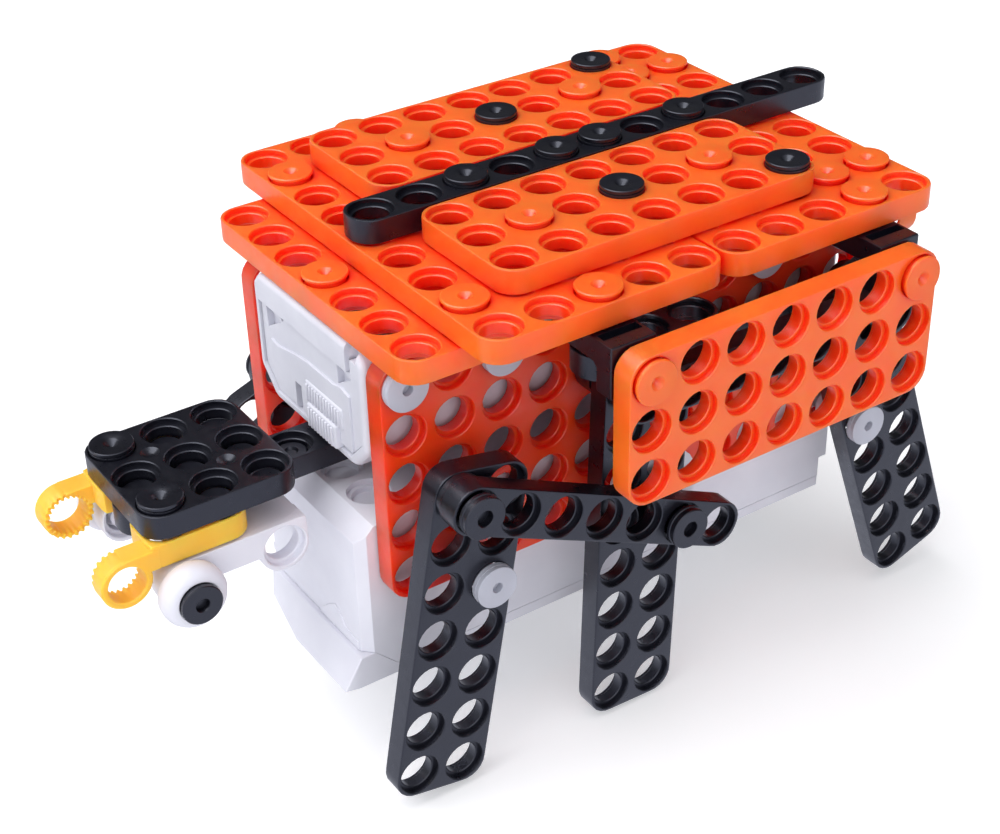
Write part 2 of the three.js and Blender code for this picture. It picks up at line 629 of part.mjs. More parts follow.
function outputGear() {
  const wheel = standing(extrude(gearOutline(), GEAR_WIDTH)).translate(-GEAR_WIDTH / 2, 0, 0);
  const reach = SHELL_HALF_INNER - SEAT_GAP;
  const hub = turnedAcross([{ from: -reach, to: reach, radius: HUB_RADIUS }], 1, ROUND_SIDES);
  const over = reach + CUT_OVERRUN;
  const socket = turnedAcross([{ from: -over, to: over, radius: HEX_RADIUS + SEAT_GAP }], 1, HOLE_SIDES);
  return mesh("output_gear", combine(wheel, { add: [hub], cut: [socket] }), white());
}

// A crank disc whose six-sided stub plugs into the output gear
function crank(side) {
  const stubSteps = [{ from: CRANK_STUB_START, to: INNER_LINK_OUTER, radius: HEX_RADIUS }];
  const stub = turnedAcross(stubSteps, side.sign, HOLE_SIDES);
  const discSteps = [{ from: INNER_LINK_INNER, to: INNER_LINK_OUTER, radius: CRANK_RADIUS }];
  const disc = turnedAcross(discSteps, side.sign, ROUND_SIDES);
  const socketStart = INNER_LINK_OUTER - CRANK_SOCKET_DEPTH;
  const socketSteps = [{ from: socketStart, to: INNER_LINK_OUTER + CUT_OVERRUN, radius: HOLE_RADIUS }];
  const socket = turnedAcross(socketSteps, side.sign, HOLE_SIDES).translate(0, crankOffset(side), 0);
  return mesh(`crank_${side.name}`, combine(stub, { add: [disc], cut: [socket] }), white());
}

// The two cranks point opposite ways, the right one towards the front
function crankOffset(side) {
  return -side.sign * CRANK_PIN_RADIUS;
}

// A peg through the outer layers of one side, with its head outside
function peg(name, side, start, headPlace, material, headLength = PEG_HEAD_LENGTH) {
  const steps = [
    { from: start, to: headPlace, radius: PEG_RADIUS },
    { from: headPlace, to: headPlace + headLength, radius: PEG_HEAD_RADIUS },
  ];
  return mesh(name, turnedAcross(steps, side.sign), material);
}

// A leg pivot, snapped into the side plate, with a collar behind the leg
function pivotPeg(name, side, headLength = PIVOT_HEAD_LENGTH) {
  const head = LEG_OUTER + SEAT_GAP;
  const steps = [
    { from: BODY_HALF_WIDTH + PEG_END_GAP, to: INNER_LINK_INNER, radius: PEG_RADIUS },
    { from: INNER_LINK_INNER, to: INNER_LINK_OUTER, radius: PEG_HEAD_RADIUS },
    { from: INNER_LINK_OUTER, to: head, radius: PEG_RADIUS },
    { from: head, to: head + headLength, radius: PEG_HEAD_RADIUS },
  ];
  return mesh(name, turnedAcross(steps, side.sign), grey());
}

// Walking linkage, solved in the plane of Y and Z at the pose of rest
function point(y, z) {
  return new THREE.Vector2(y, z);
}

// Where two circles meet, on the upper side
function meeting(a, radiusA, b, radiusB) {
  const line = b.clone().sub(a);
  const distance = line.length();
  const along = (distance * distance + radiusA * radiusA - radiusB * radiusB) / (2 * distance);
  const across = Math.sqrt(radiusA * radiusA - along * along);
  line.normalize();
  const foot = a.clone().addScaledVector(line, along);
  const one = foot.clone().add(point(-line.y, line.x).multiplyScalar(across));
  const two = foot.clone().sub(point(-line.y, line.x).multiplyScalar(across));
  return one.y > two.y ? one : two;
}

// Angle that turns one direction onto another
function turnBetween(from, to) {
  return to.angle() - from.angle();
}

// Columns and rows from a leg's pivot hole to its link hole
const FRONT_LEVER_HOLES = { left: [0, 1], right: [-1, 2] };
const COUPLER_REACH_HOLES = [4, 3];

function linkage(side) {
  const axis = point(CRANK_PLACE, AXLE_HEIGHT);
  const pin = axis.clone().add(point(crankOffset(side), 0));
  const frontPivot = point(FRONT_PIVOT, AXLE_HEIGHT);
  const rearPivot = point(REAR_PIVOT, AXLE_HEIGHT);
  const span = LINK_SPAN_HOLES * PITCH;
  const lever = point(...FRONT_LEVER_HOLES[side.name]).multiplyScalar(PITCH);
  const reach = point(...COUPLER_REACH_HOLES).multiplyScalar(PITCH);
  const rocker = point(0, ROCKER_ROWS * PITCH);
  const frontPin = meeting(pin, span, frontPivot, lever.length());
  const rearPin = meeting(pin, reach.length(), rearPivot, rocker.length());
  return {
    pin,
    frontPivot,
    rearPivot,
    frontPin,
    rearPin,
    frontTurn: turnBetween(lever, frontPin.clone().sub(frontPivot)),
    linkTurn: frontPin.clone().sub(pin).angle(),
    couplerTurn: turnBetween(reach, rearPin.clone().sub(pin)),
    rearTurn: turnBetween(rocker, rearPin.clone().sub(rearPivot)),
  };
}

// A group at a pivot, turned about the X axis
function hinged(place, turn, parts) {
  const group = new THREE.Group();
  group.position.set(0, place.x, place.y);
  group.rotation.x = turn;
  group.add(...parts);
  return group;
}

// A plate drawn from its pivot hole, counted from its lower front hole
function pivoted(columns, rows, pivotColumn, pivotRow, thickness = SHEET) {
  const geometry = plate(columns, rows, { thickness });
  return standing(geometry.translate(-pivotColumn * PITCH, -pivotRow * PITCH, 0));
}

const FRONT_LEG_ROWS = { left: 6, right: 7 };
const LONG_LEG_ROWS = 8;
const LEG_PIVOT_ROW = 4;
const LINK_HOLES = 7;

function walkingSide(side) {
  const link = linkage(side);
  const legPlace = layerPlace(side, LEG_INNER);
  const linkPlace = layerPlace(side, LINK_INNER);
  const innerThickness = INNER_LINK_OUTER - INNER_LINK_INNER;
  const innerPlace = layerPlace(side, INNER_LINK_INNER, innerThickness);
  const headPlace = LINK_OUTER + SEAT_GAP;
  const name = side.name;
  const frontLeg = pivoted(2, FRONT_LEG_ROWS[name], 1, LEG_PIVOT_ROW);
  const middleLeg = pivoted(2, LONG_LEG_ROWS, 1, LEG_PIVOT_ROW);
  const rearLeg = pivoted(2, LONG_LEG_ROWS, 0, LEG_PIVOT_ROW);
  const rearLink = pivoted(LINK_HOLES, 1, 1, -ROCKER_ROWS);
  const innerLink = pivoted(LINK_HOLES, 1, 1, -ROCKER_ROWS, innerThickness);
  const frontLink = pivoted(LINK_HOLES, 1, 1, 0);
  const reach = point(...COUPLER_REACH_HOLES).multiplyScalar(PITCH);
  const rearPegStart = INNER_LINK_INNER + PEG_END_GAP;
  const rearPeg = peg(`rear_link_peg_${name}`, side, rearPegStart, headPlace, black());
  rearPeg.position.set(0, reach.x, reach.y);
  const frontPegStart = LEG_INNER + SEAT_GAP;
  const frontPeg = peg(`front_link_peg_${name}`, side, frontPegStart, headPlace, black());
  frontPeg.position.set(0, LINK_SPAN_HOLES * PITCH, 0);
  const frontHead = side.sign > 0 ? PIVOT_HEAD_LENGTH : FLUSH_HEAD_LENGTH;
  const crankPegStart = INNER_LINK_OUTER - CRANK_SOCKET_DEPTH + PEG_END_GAP;
  const crankPeg = peg(`crank_peg_${name}`, side, crankPegStart, headPlace, black());
  crankPeg.position.set(0, crankOffset(side), 0);
  return [
    hinged(link.frontPivot, link.frontTurn, [mesh(`front_leg_${name}`, frontLeg, black(), legPlace)]),
    hinged(link.pin, link.linkTurn, [mesh(`front_link_${name}`, frontLink, black(), linkPlace), frontPeg]),
    hinged(link.pin, link.couplerTurn, [
      mesh(`middle_leg_${name}`, middleLeg, black(), legPlace),
      mesh(`rear_link_outer_${name}`, rearLink, black(), linkPlace),
      mesh(`rear_link_inner_${name}`, innerLink, black(), innerPlace),
      rearPeg,
    ]),
    hinged(link.rearPivot, link.rearTurn, [mesh(`rear_leg_${name}`, rearLeg, black(), legPlace)]),
    hinged(link.frontPivot, 0, [pivotPeg(`front_pivot_${name}`, side, frontHead)]),
    hinged(link.rearPivot, 0, [pivotPeg(`rear_pivot_${name}`, side)]),
    hinged(point(CRANK_PLACE, AXLE_HEIGHT), 0, [crank(side), crankPeg]),
  ];
}

function neckBeam() {
  return mesh("neck_beam", plate(1, NECK_HOLES), black(), 0, HEAD_FIRST_ROW, NECK_BOTTOM);
}

function headPlate() {
  return mesh("head_plate", plate(3, HEAD_ROWS), black(), -PITCH, HEAD_FIRST_ROW, NECK_TOP + SEAT_GAP);
}

// A clip with a flat two-hole foot and an upright ring in front
function headClip(side) {
  const inner = side.sign > 0 ? CLIP_INNER : -CLIP_OUTER;
  const foot = plate(1, CLIP_ROWS).translate(side.sign * PITCH, HEAD_FIRST_ROW, NECK_BOTTOM);
  const outer = inner + CLIP_OUTER - CLIP_INNER;
  const armRear = HEAD_FIRST_ROW - HOLE_RADIUS;
  const armTop = CLIP_RING_HEIGHT + CLIP_RING_RADIUS;
  const arm = box(inner, outer, CLIP_RING_PLACE, armRear, NECK_BOTTOM, armTop);
  const ringSteps = [{ from: CLIP_INNER, to: CLIP_OUTER, radius: CLIP_RING_RADIUS }];
  const ring = turnedAcross(ringSteps, side.sign, ROUND_SIDES);
  ring.translate(0, CLIP_RING_PLACE, CLIP_RING_HEIGHT);
  const boreStart = CLIP_INNER - CUT_OVERRUN;
  const boreSteps = [{ from: boreStart, to: CLIP_OUTER + CUT_OVERRUN, radius: CLIP_RING_BORE }];
  const bore = turnedAcross(boreSteps, side.sign, ROUND_SIDES);
  bore.translate(0, CLIP_RING_PLACE, CLIP_RING_HEIGHT);
  const geometry = combine(foot, { add: [arm, ring], cut: [bore] });
  return mesh(`head_clip_${side.name}`, geometry, yellow());
}

const FORK_AXLE_HEIGHT = FORK_TOP - FORK_DROP / 2;

// The white fork under the head, a web with two arms that carry the rollers
function rollerFork() {
  const bottom = FORK_TOP - FORK_DROP;
  const armOutline = roundedRectangle(FORK_FRONT, FORK_REAR, bottom, FORK_TOP, CORNER_RADIUS);
  const holePlaces = [FORK_REAR_HOLE, ROLLER_PLACE];
  const holes = holePlaces.map((y) => circle(y, FORK_AXLE_HEIGHT, HOLE_RADIUS, HOLE_SIDES));
  const arms = sides.map((side) => {
    const start = side.sign > 0 ? FORK_HALF_WIDTH - FORK_ARM : -FORK_HALF_WIDTH;
    return standing(extrude(armOutline, FORK_ARM, holes)).translate(start, 0, 0);
  });
  const webHalf = FORK_HALF_WIDTH - FORK_ARM / 2;
  const webFront = FORK_FRONT + CORNER_RADIUS;
  const webRear = FORK_REAR - CORNER_RADIUS;
  const web = box(-webHalf, webHalf, webFront, webRear, FORK_TOP - FORK_WEB, FORK_TOP);
  const pegStart = FORK_TOP - FORK_WEB - CUT_OVERRUN;
  const pegSteps = [{ from: pegStart, to: FORK_TOP + CUT_OVERRUN, radius: HOLE_RADIUS }];
  const pegPlaces = [HEAD_FIRST_ROW + PITCH, HEAD_FIRST_ROW + 2 * PITCH];
  const pegHoles = pegPlaces.map((y) => turned(pegSteps, HOLE_SIDES).translate(0, y, 0));
  return mesh("roller_fork", combine(web, { add: arms, cut: pegHoles }), white());
}

// A roller with its own axle stub, which turns in the fork's arm
function roller(side) {
  const face = FORK_HALF_WIDTH + SEAT_GAP;
  const steps = [
    { from: FORK_HALF_WIDTH - FORK_ARM + SEAT_GAP, to: face, radius: PEG_RADIUS },
    { from: face, to: face + ROLLER_WIDTH, radius: ROLLER_RADIUS },
    {
      from: face + ROLLER_WIDTH,
      to: face + ROLLER_WIDTH + ROLLER_HEAD_LENGTH,
      radius: PEG_HEAD_RADIUS,
    },
  ];
  const geometry = turnedAcross(steps, side.sign, ROUND_SIDES);
  return mesh(`roller_${side.name}`, geometry, white(), 0, ROLLER_PLACE, FORK_AXLE_HEIGHT);
}

const robot = new THREE.Group();
robot.add(...deckPlates());
for (const side of sides) {
  robot.add(sidePlate(side), sidePanel(side), ...brackets(side), bracketBar(side));
  robot.add(...walkingSide(side));
  robot.add(headClip(side), roller(side));
}
robot.add(batteryCase(), batteryDoor(), ...batteryContacts());
robot.add(batteryCell("battery_cell_left", -CELL_OFFSET, -1));
robot.add(batteryCell("battery_cell_right", CELL_OFFSET, 1));
robot.add(gearboxShell(), gearboxTray(), motor(), worm());
robot.add(hinged(point(CRANK_PLACE, AXLE_HEIGHT), 0, [outputGear()]));
robot.add(neckBeam(), headPlate(), rollerFork());

// The origin is on the floor below the middle of the robot
const bounds = new THREE.Box3().setFromObject(robot, true);
const middle = bounds.getCenter(new THREE.Vector3());
robot.position.set(-middle.x, -middle.y, -bounds.min.z);

export default robot;
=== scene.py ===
"""Looks of the six-legged walking robot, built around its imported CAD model.

Lengths are millimetres in the deck frame: the origin is in the middle of the deck's top face,
the robot faces -Y, and left and right are as seen from its front.
"""
import math

import bmesh
import bpy
from mathutils import Matrix, Vector

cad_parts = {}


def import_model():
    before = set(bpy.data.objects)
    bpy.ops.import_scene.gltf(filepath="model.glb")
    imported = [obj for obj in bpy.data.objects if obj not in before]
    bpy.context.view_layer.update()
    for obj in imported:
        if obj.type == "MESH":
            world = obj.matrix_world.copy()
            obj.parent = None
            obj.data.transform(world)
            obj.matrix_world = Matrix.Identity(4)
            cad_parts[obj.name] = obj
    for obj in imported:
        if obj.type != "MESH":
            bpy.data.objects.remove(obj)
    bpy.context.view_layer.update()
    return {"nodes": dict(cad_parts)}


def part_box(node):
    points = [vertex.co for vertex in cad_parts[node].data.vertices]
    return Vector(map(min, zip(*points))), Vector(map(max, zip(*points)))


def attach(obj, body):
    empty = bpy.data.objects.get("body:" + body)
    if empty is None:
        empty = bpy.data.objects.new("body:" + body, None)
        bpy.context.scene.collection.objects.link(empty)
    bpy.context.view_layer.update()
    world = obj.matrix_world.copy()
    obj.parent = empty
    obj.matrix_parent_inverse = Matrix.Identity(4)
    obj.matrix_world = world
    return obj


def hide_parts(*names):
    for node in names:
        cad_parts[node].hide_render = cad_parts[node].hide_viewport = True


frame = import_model()

MM = 0.001  # metres in a millimetre

# Kit grid
PITCH = 6
SHEET = 2.8
SEAT_GAP = 0.3
LAYER = SHEET + SEAT_GAP
EDGE = (PITCH - SEAT_GAP) / 2
CORNER_RADIUS = 2.6
HOLE_RADIUS = 2.0
RIM_RADIUS = 2.5
RIM_DEPTH = 0.72
HOLE_FILLET = 0.1
EDGE_FILLET = 0.18
FILLET_PARTS = 3.4  # the middle of a border's fillet lies one such part in
HOLE_RAYS = 24
ROUND_SIDES = 32
SHARP_ANGLE = math.radians(40)
FLAT_ANGLE = 0.01
WELD = 0.001
OVERRUN = 1  # how far a cutter runs past the faces that it opens
DOWN = (0, 0, -1)
LOOK = "_look"  # ends the name of a material that gives a slot its looks

# Heights of the stacked layers, each the top face of its layer
PAD_TOP = LAYER
DECK_TOP = 0
UNDER_DECK_TOP = DECK_TOP - LAYER
BAR_TOP = UNDER_DECK_TOP - LAYER
BODY_TOP = BAR_TOP
SIDE_TOP_ROW = BODY_TOP - PITCH / 2
SIDE_ROWS = 5
AXLE_HEIGHT = SIDE_TOP_ROW - (SIDE_ROWS - 1) * PITCH
PANEL_TOP_ROW = UNDER_DECK_TOP - PITCH / 2

# Distances of the upright layers from the middle plane
BODY_HALF_WIDTH = 2 * PITCH
SIDE_INNER = BODY_HALF_WIDTH + SEAT_GAP
SIDE_OUTER = SIDE_INNER + SHEET
LEG_INNER = 3 * PITCH + SEAT_GAP
LEG_OUTER = LEG_INNER + SHEET
INNER_LINK_INNER = SIDE_OUTER + SEAT_GAP
INNER_LINK_OUTER = LEG_INNER - SEAT_GAP
LINK_GAP = 0.8
LINK_INNER = LEG_OUTER + LINK_GAP
LINK_OUTER = LINK_INNER + SHEET
PANEL_INNER = 5 * PITCH + SEAT_GAP
PANEL_OUTER = PANEL_INNER + SHEET

# Grid places along the robot
DECK_FRONT_HOLE = -4.5 * PITCH
DECK_REAR_HOLE = 0.5 * PITCH
PAD_FIRST_HOLE = -3.5 * PITCH
UNDER_FRONT_HOLE = -5.5 * PITCH
UNDER_REAR_HOLE = 2.5 * PITCH
SIDE_FIRST_HOLE = -5.5 * PITCH
PANEL_FIRST_HOLE = -2.5 * PITCH
BRACKET_PLACES = {"front": -2.5 * PITCH, "rear": 3.5 * PITCH}
BRACKET_HOLE = 4 * PITCH
FRONT_PIVOT = -4.5 * PITCH
REAR_PIVOT = 4.5 * PITCH
REAR_STRIP_FACE = 5 * PITCH + SEAT_GAP
REAR_STRIP_RISE = 2.1

# Walking linkage
CRANK_THROW = 2
CRANK_AXIS = -1.6
LINK_SPAN = 5
ROCKER_ROWS = 3
BORE_RADIUS = 2.3
FRONT_LEVERS = {"left": (0, 1), "right": (-1, 2)}
COUPLER_REACH = (4, 3)
FRONT_LEG_ROWS = {"left": 6, "right": 7}
LONG_LEG_ROWS = 8
LEG_PIVOT_ROW = 4
LINK_HOLES = 7

# The deck frame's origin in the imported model, from the front deck plate
deck_low, deck_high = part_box("deck_front")
ORIGIN = Vector(((deck_low.x + deck_high.x) / 2, deck_high.y + SEAT_GAP / 2 * MM, deck_high.z))
TO_ROW = Matrix.Translation(ORIGIN) @ Matrix.Scale(MM, 4)

SIDES = {"left": -1, "right": 1}


# Mesh building

class Shape:
    """A mesh in the making."""

    def __init__(self):
        self.points = []
        self.faces = []

    def ring(self, points):
        start = len(self.points)
        self.points.extend(points)
        return list(range(start, len(self.points)))

    def bridge(self, one, two, closed=True):
        count = len(one)
        for index in range(count if closed else count - 1):
            following = (index + 1) % count
            self.faces.append((one[index], one[following], two[following], two[index]))

    def cap(self, ring):
        self.faces.append(tuple(ring))

    def add(self, other, matrix=Matrix.Identity(4)):
        start = len(self.points)
        self.points.extend(tuple(matrix @ Vector(point)) for point in other.points)
        self.faces.extend(tuple(start + index for index in face) for face in other.faces)
        return self

    def moved(self, matrix):
        return Shape().add(self, matrix)


def mesh_of(shape, name, weld=True):
    """Turns a shape into a mesh with its faces pointing out."""
    body = bmesh.new()
    corners = [body.verts.new(point) for point in shape.points]
    for face in shape.faces:
        if len(set(face)) > 2:
            body.faces.new([corners[index] for index in face])
    if weld:
        bmesh.ops.remove_doubles(body, verts=body.verts, dist=WELD)
    bmesh.ops.recalc_face_normals(body, faces=body.faces)
    data = bpy.data.meshes.new(name)
    body.to_mesh(data)
    body.free()
    return data


def linked(name, data):
    """A new object in the scene."""
    item = bpy.data.objects.new(name, data)
    bpy.context.scene.collection.objects.link(item)
    return item


def as_mesh(shape, name):
    return shape if isinstance(shape, bpy.types.Mesh) else mesh_of(shape, name)


def piece_of(name, data, material, body, replaced=()):
    """Puts a mesh in the scene as a piece that rides on a body."""
    data.transform(TO_ROW)
    for polygon in data.polygons:
        polygon.use_smooth = True
    data.set_sharp_from_angle(angle=SHARP_ANGLE)
    data.materials.clear()
    data.materials.append(material)
    piece = linked(name, data)
    shading = piece.modifiers.new("shading", "WEIGHTED_NORMAL")
    shading.keep_sharp = True
    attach(piece, body)
    if replaced:
        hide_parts(*replaced)


def fine(node, shape, material, body="chassis"):
    """A piece that takes the place of the CAD node of its name."""
    name = f"{node}_fine"
    piece_of(name, as_mesh(shape, name), material, body, [node])


def bevelled(data, width, steps, angle, flatten=False):
    """Rounds the sharp edges of a mesh over, in place."""
    body = bmesh.new()
    body.from_mesh(data)
    if flatten:
        bmesh.ops.dissolve_limit(body, angle_limit=FLAT_ANGLE, verts=body.verts, edges=body.edges)
    edges = [edge for edge in body.edges if len(edge.link_faces) == 2 and edge.calc_face_angle() > angle]
    bmesh.ops.bevel(
        body, geom=edges, offset=width, segments=steps, profile=0.5, affect="EDGES", clamp_overlap=True
    )
    body.to_mesh(data)
    body.free()
    return data


def rounded(shape, width, steps=2, angle=math.radians(30)):
    """A mesh of a shape whose sharp edges are rounded over."""
    return bevelled(mesh_of(shape, "rounded"), width, steps, angle)


def softened(data, width, steps=3, angle=0.3):
    """Rounds the sharp edges of a carved mesh over, in place."""
    return bevelled(data, width, steps, angle, flatten=True)


def carved(data, cutters, operation="DIFFERENCE"):
    """The mesh after a set of shapes is cut out of it, or added to it."""
    target = linked("carved", data)
    tools = []
    for cutter in cutters:
        tool = linked("cutter", as_mesh(cutter, "cutter"))
        tools.append(tool)
        modifier = target.modifiers.new("cut", "BOOLEAN")
        modifier.operation = operation
        modifier.solver = "EXACT"
        modifier.object = tool
    graph = bpy.context.evaluated_depsgraph_get()
    result = bpy.data.meshes.new_from_object(target.evaluated_get(graph))
    for used in [target, *tools]:
        bpy.data.objects.remove(used)
    return result


def merged(*meshes):
    """One mesh that holds several."""
    body = bmesh.new()
    for data in meshes:
        body.from_mesh(data)
    whole = bpy.data.meshes.new("merged")
    body.to_mesh(whole)
    body.free()
    return whole


# Shapes

def circle(radius, z, sides, x=0, y=0):
    angles = [math.tau * side / sides for side in range(sides)]
    return [(x + radius * math.cos(a), y + radius * math.sin(a), z) for a in angles]


def arc(x, y, radius, start, sweep, steps):
    angles = [start + sweep * step / steps for step in range(steps + 1)]
    return [(x + radius * math.cos(a), y + radius * math.sin(a)) for a in angles]


def square_ray(ray):
    """Where a ray from the middle of a square of half width one meets its edge."""
    angle = math.tau * ray / HOLE_RAYS
    across, up = math.cos(angle), math.sin(angle)
    reach = max(abs(across), abs(up))
    return across / reach, up / reach


def cell(x, y, west, east, south, north, borders, radius=HOLE_RADIUS, rim=RIM_RADIUS, corner=CORNER_RADIUS):
    """One hole of a plate with the rectangle of plate around it."""
    return {
        "x": x, "y": y, "west": west, "east": east, "south": south, "north": north,
        "borders": borders, "radius": radius, "rim": rim, "corner": {"north": corner, "south": corner},
    }


def rim_point(hole, ray, inset):
    """Where a ray of a hole meets the edge of its cell, drawn in along the plate's border."""
    across, up = square_ray(ray)
    side_x = "east" if across > 0 else "west"
    side_y = "north" if up > 0 else "south"
    reach_x = hole[side_x] - (inset if side_x in hole["borders"] else 0)
    reach_y = hole[side_y] - (inset if side_y in hole["borders"] else 0)
    x, y = across * reach_x, up * reach_y
    if side_x in hole["borders"] and side_y in hole["borders"]:
        corner = hole["corner"][side_y]
        corner_x = math.copysign(hole[side_x] - corner, across)
        corner_y = math.copysign(hole[side_y] - corner, up)
        out_x, out_y = x - corner_x, y - corner_y
        if out_x * across > 0 and out_y * up > 0:
            share = (corner - inset) / math.hypot(out_x, out_y)
            x, y = corner_x + out_x * share, corner_y + out_y * share
    return hole["x"] + x, hole["y"] + y


def hole_profile(hole, thickness):
    """Radius and height of the rings down one hole, from the top face to the underside."""
    radius, rim = hole["radius"], hole["rim"]
    if rim > radius:
        upper = [
            (rim + HOLE_FILLET, thickness),
            (rim, thickness - HOLE_FILLET),
            (rim, thickness - RIM_DEPTH),
            (radius + HOLE_FILLET, thickness - RIM_DEPTH),
            (radius, thickness - RIM_DEPTH - HOLE_FILLET),
        ]
    else:
        upper = [(radius + HOLE_FILLET, thickness), (radius, thickness - HOLE_FILLET)]
    return upper + [(r, thickness - z) for r, z in reversed(upper)]


def border_profile(thickness):
    """Inset and height of the rings down the plate's border."""
    fillet = EDGE_FILLET
    part = fillet / FILLET_PARTS
    upper = [(fillet, thickness), (part, thickness - part), (0, thickness - fillet)]
    return upper + [(inset, thickness - z) for inset, z in reversed(upper)]


def celled_plate(cells, thickness=SHEET):
    """A plate made of cells, each with its own hole, its underside at zero."""
    shape = Shape()
    wall = border_profile(thickness)
    rays = range(HOLE_RAYS)
    eighth = HOLE_RAYS // 8
    for hole in cells:
        loops = []
        for radius, z in hole_profile(hole, thickness):
            loops.append(shape.ring(circle(radius, z, HOLE_RAYS, hole["x"], hole["y"])))
        for one, two in zip(loops, loops[1:]):
            shape.bridge(one, two)
        borders = [shape.ring([(*rim_point(hole, ray, inset), z) for ray in rays]) for inset, z in wall]
        shape.bridge(borders[0], loops[0])
        shape.bridge(borders[-1], loops[-1])
        for ray in rays:
            side = ("east", "north", "west", "south")[((ray + eighth) // (2 * eighth)) % 4]
            if side in hole["borders"]:
                following = (ray + 1) % HOLE_RAYS
                for one, two in zip(borders, borders[1:]):
                    shape.faces.append((one[ray], one[following], two[following], two[ray]))
    return shape


def grid_cells(columns, rows, skips=()):
    cells = []
    for row in range(rows):
        for column in range(columns):
            if (column, row) in skips:
                continue
            sides = {
                "west": column == 0, "east": column == columns - 1,
                "south": row == 0, "north": row == rows - 1,
            }
            reach = {side: EDGE if on_border else PITCH / 2 for side, on_border in sides.items()}
            borders = {side for side, on_border in sides.items() if on_border}
            cells.append(cell(column * PITCH, row * PITCH, *reach.values(), borders))
    return cells


def plate(columns, rows, thickness=SHEET):
    return celled_plate(grid_cells(columns, rows), thickness)


def turned(profile, sides=ROUND_SIDES):
    """A round shape about the Z axis from a profile of radius and height."""
    shape = Shape()
    loops = []
    for radius, z in profile:
        if radius > 0:
            loops.append(shape.ring(circle(radius, z, sides)))
        else:
            loops.append(shape.ring([(0, 0, z)] * sides))
    for one, two in zip(loops, loops[1:]):
        shape.bridge(one, two)
    if profile[0][0] > 0 and profile[-1] == profile[0]:
        return shape
    for loop, (radius, _) in ((loops[0], profile[0]), (loops[-1], profile[-1])):
        if radius > 0:
            shape.cap(loop)
    return shape


def prism(outline, depth):
    """An outline in X and Y, raised along Z."""
    shape = Shape()
    low = shape.ring([(x, y, 0) for x, y in outline])
    high = shape.ring([(x, y, depth) for x, y in outline])
    shape.cap(low)
    shape.cap(high)
    shape.bridge(low, high)
    return shape


def box(x0, x1, y0, y1, z0, z1):
    return prism([(x0, y0), (x1, y0), (x1, y1), (x0, y1)], z1 - z0).moved(flat(0, 0, z0))


def flat(x, y, z):
    return Matrix.Translation((x, y, z))


def upright(side, inner, y, z, turn=0):
    """Places a drawing beside the robot: its x and y lie along Y and Z, its depth points out."""
    c, s = math.cos(turn), math.sin(turn)
    return Matrix(((0, 0, side, side * inner), (c, -s, 0, y), (s, c, 0, z), (0, 0, 0, 1)))


def facing(x, y, z):
    """Places a drawing in front view: its x and y lie along X and Z, its depth points back."""
    return Matrix(((1, 0, 0, x), (0, 0, 1, y), (0, 1, 0, z), (0, 0, 0, 1)))


def pivoted(columns, rows, pivot_column, pivot_row, thickness=SHEET):
    shape = plate(columns, rows, thickness)
    return shape.moved(flat(-pivot_column * PITCH, -pivot_row * PITCH, 0))


# Materials

def srgb(red, green, blue):
    """A colour written as it shows, as the linear colour of a shader."""
    def linear(value):
        share = value / 255
        return share / 12.92 if share <= 0.04045 else ((share + 0.055) / 1.055) ** 2.4
    return linear(red), linear(green), linear(blue), 1


class Nodes:
    """A node tree that is filled one node at a time."""

    def __init__(self, tree):
        self.tree = tree
        tree.nodes.clear()

    def add(self, kind, **values):
        node = self.tree.nodes.new(kind)
        for name, value in values.items():
            setattr(node, name, value)
        return node

    def link(self, source, target):
        self.tree.links.new(source, target)


def filled(node, values):
    """Sets the sockets of a node."""
    for name, value in values.items():
        node.inputs[name].default_value = value
    return node


def noise(nodes, coordinates, scale, detail=3, roughness=0.5):
    node = nodes.add("ShaderNodeTexNoise")
    filled(node, {"Scale": scale, "Detail": detail, "Roughness": roughness})
    nodes.link(coordinates, node.inputs["Vector"])
    return node.outputs["Fac"]


def ranged(nodes, value, low, high, start=0.3, end=0.7):
    node = nodes.add("ShaderNodeMapRange")
    filled(node, {"From Min": start, "From Max": end, "To Min": low, "To Max": high})
    nodes.link(value, node.inputs["Value"])
    return node.outputs["Result"]


def blended(nodes, value, one, two):
    node = filled(nodes.add("ShaderNodeMix", data_type="RGBA"), {"A": one, "B": two})
    nodes.link(value, node.inputs["Factor"])
    return node.outputs["Result"]


MOTTLE_SCALE = 160
HAZE_SCALE = 900
GRAIN_SCALE = 5200
GRAIN_DEPTH = 0.05
# Painted shade in holes and corners: how far it looks for nearby surfaces, and the open shares of the view
# between which it fades
PAINTED_SHADE_REACH = 5
PAINTED_SHADE_SHARES = (0.4, 0.82)  # open shares of the view between which a crevice fades


def painted_crevice_shade(nodes, colour, painted_shade):
    """The colour, turned to the colour of painted shade where the surface lies in holes and corners."""
    near = nodes.add("ShaderNodeAmbientOcclusion", samples=4)
    near.inputs["Distance"].default_value = PAINTED_SHADE_REACH * MM
    mix = nodes.add("ShaderNodeMix", data_type="RGBA")
    nodes.link(ranged(nodes, near.outputs["AO"], 0, 1, *PAINTED_SHADE_SHARES), mix.inputs["Factor"])
    mix.inputs["A"].default_value = painted_shade
    nodes.link(colour, mix.inputs["B"])
    return mix.outputs["Result"]


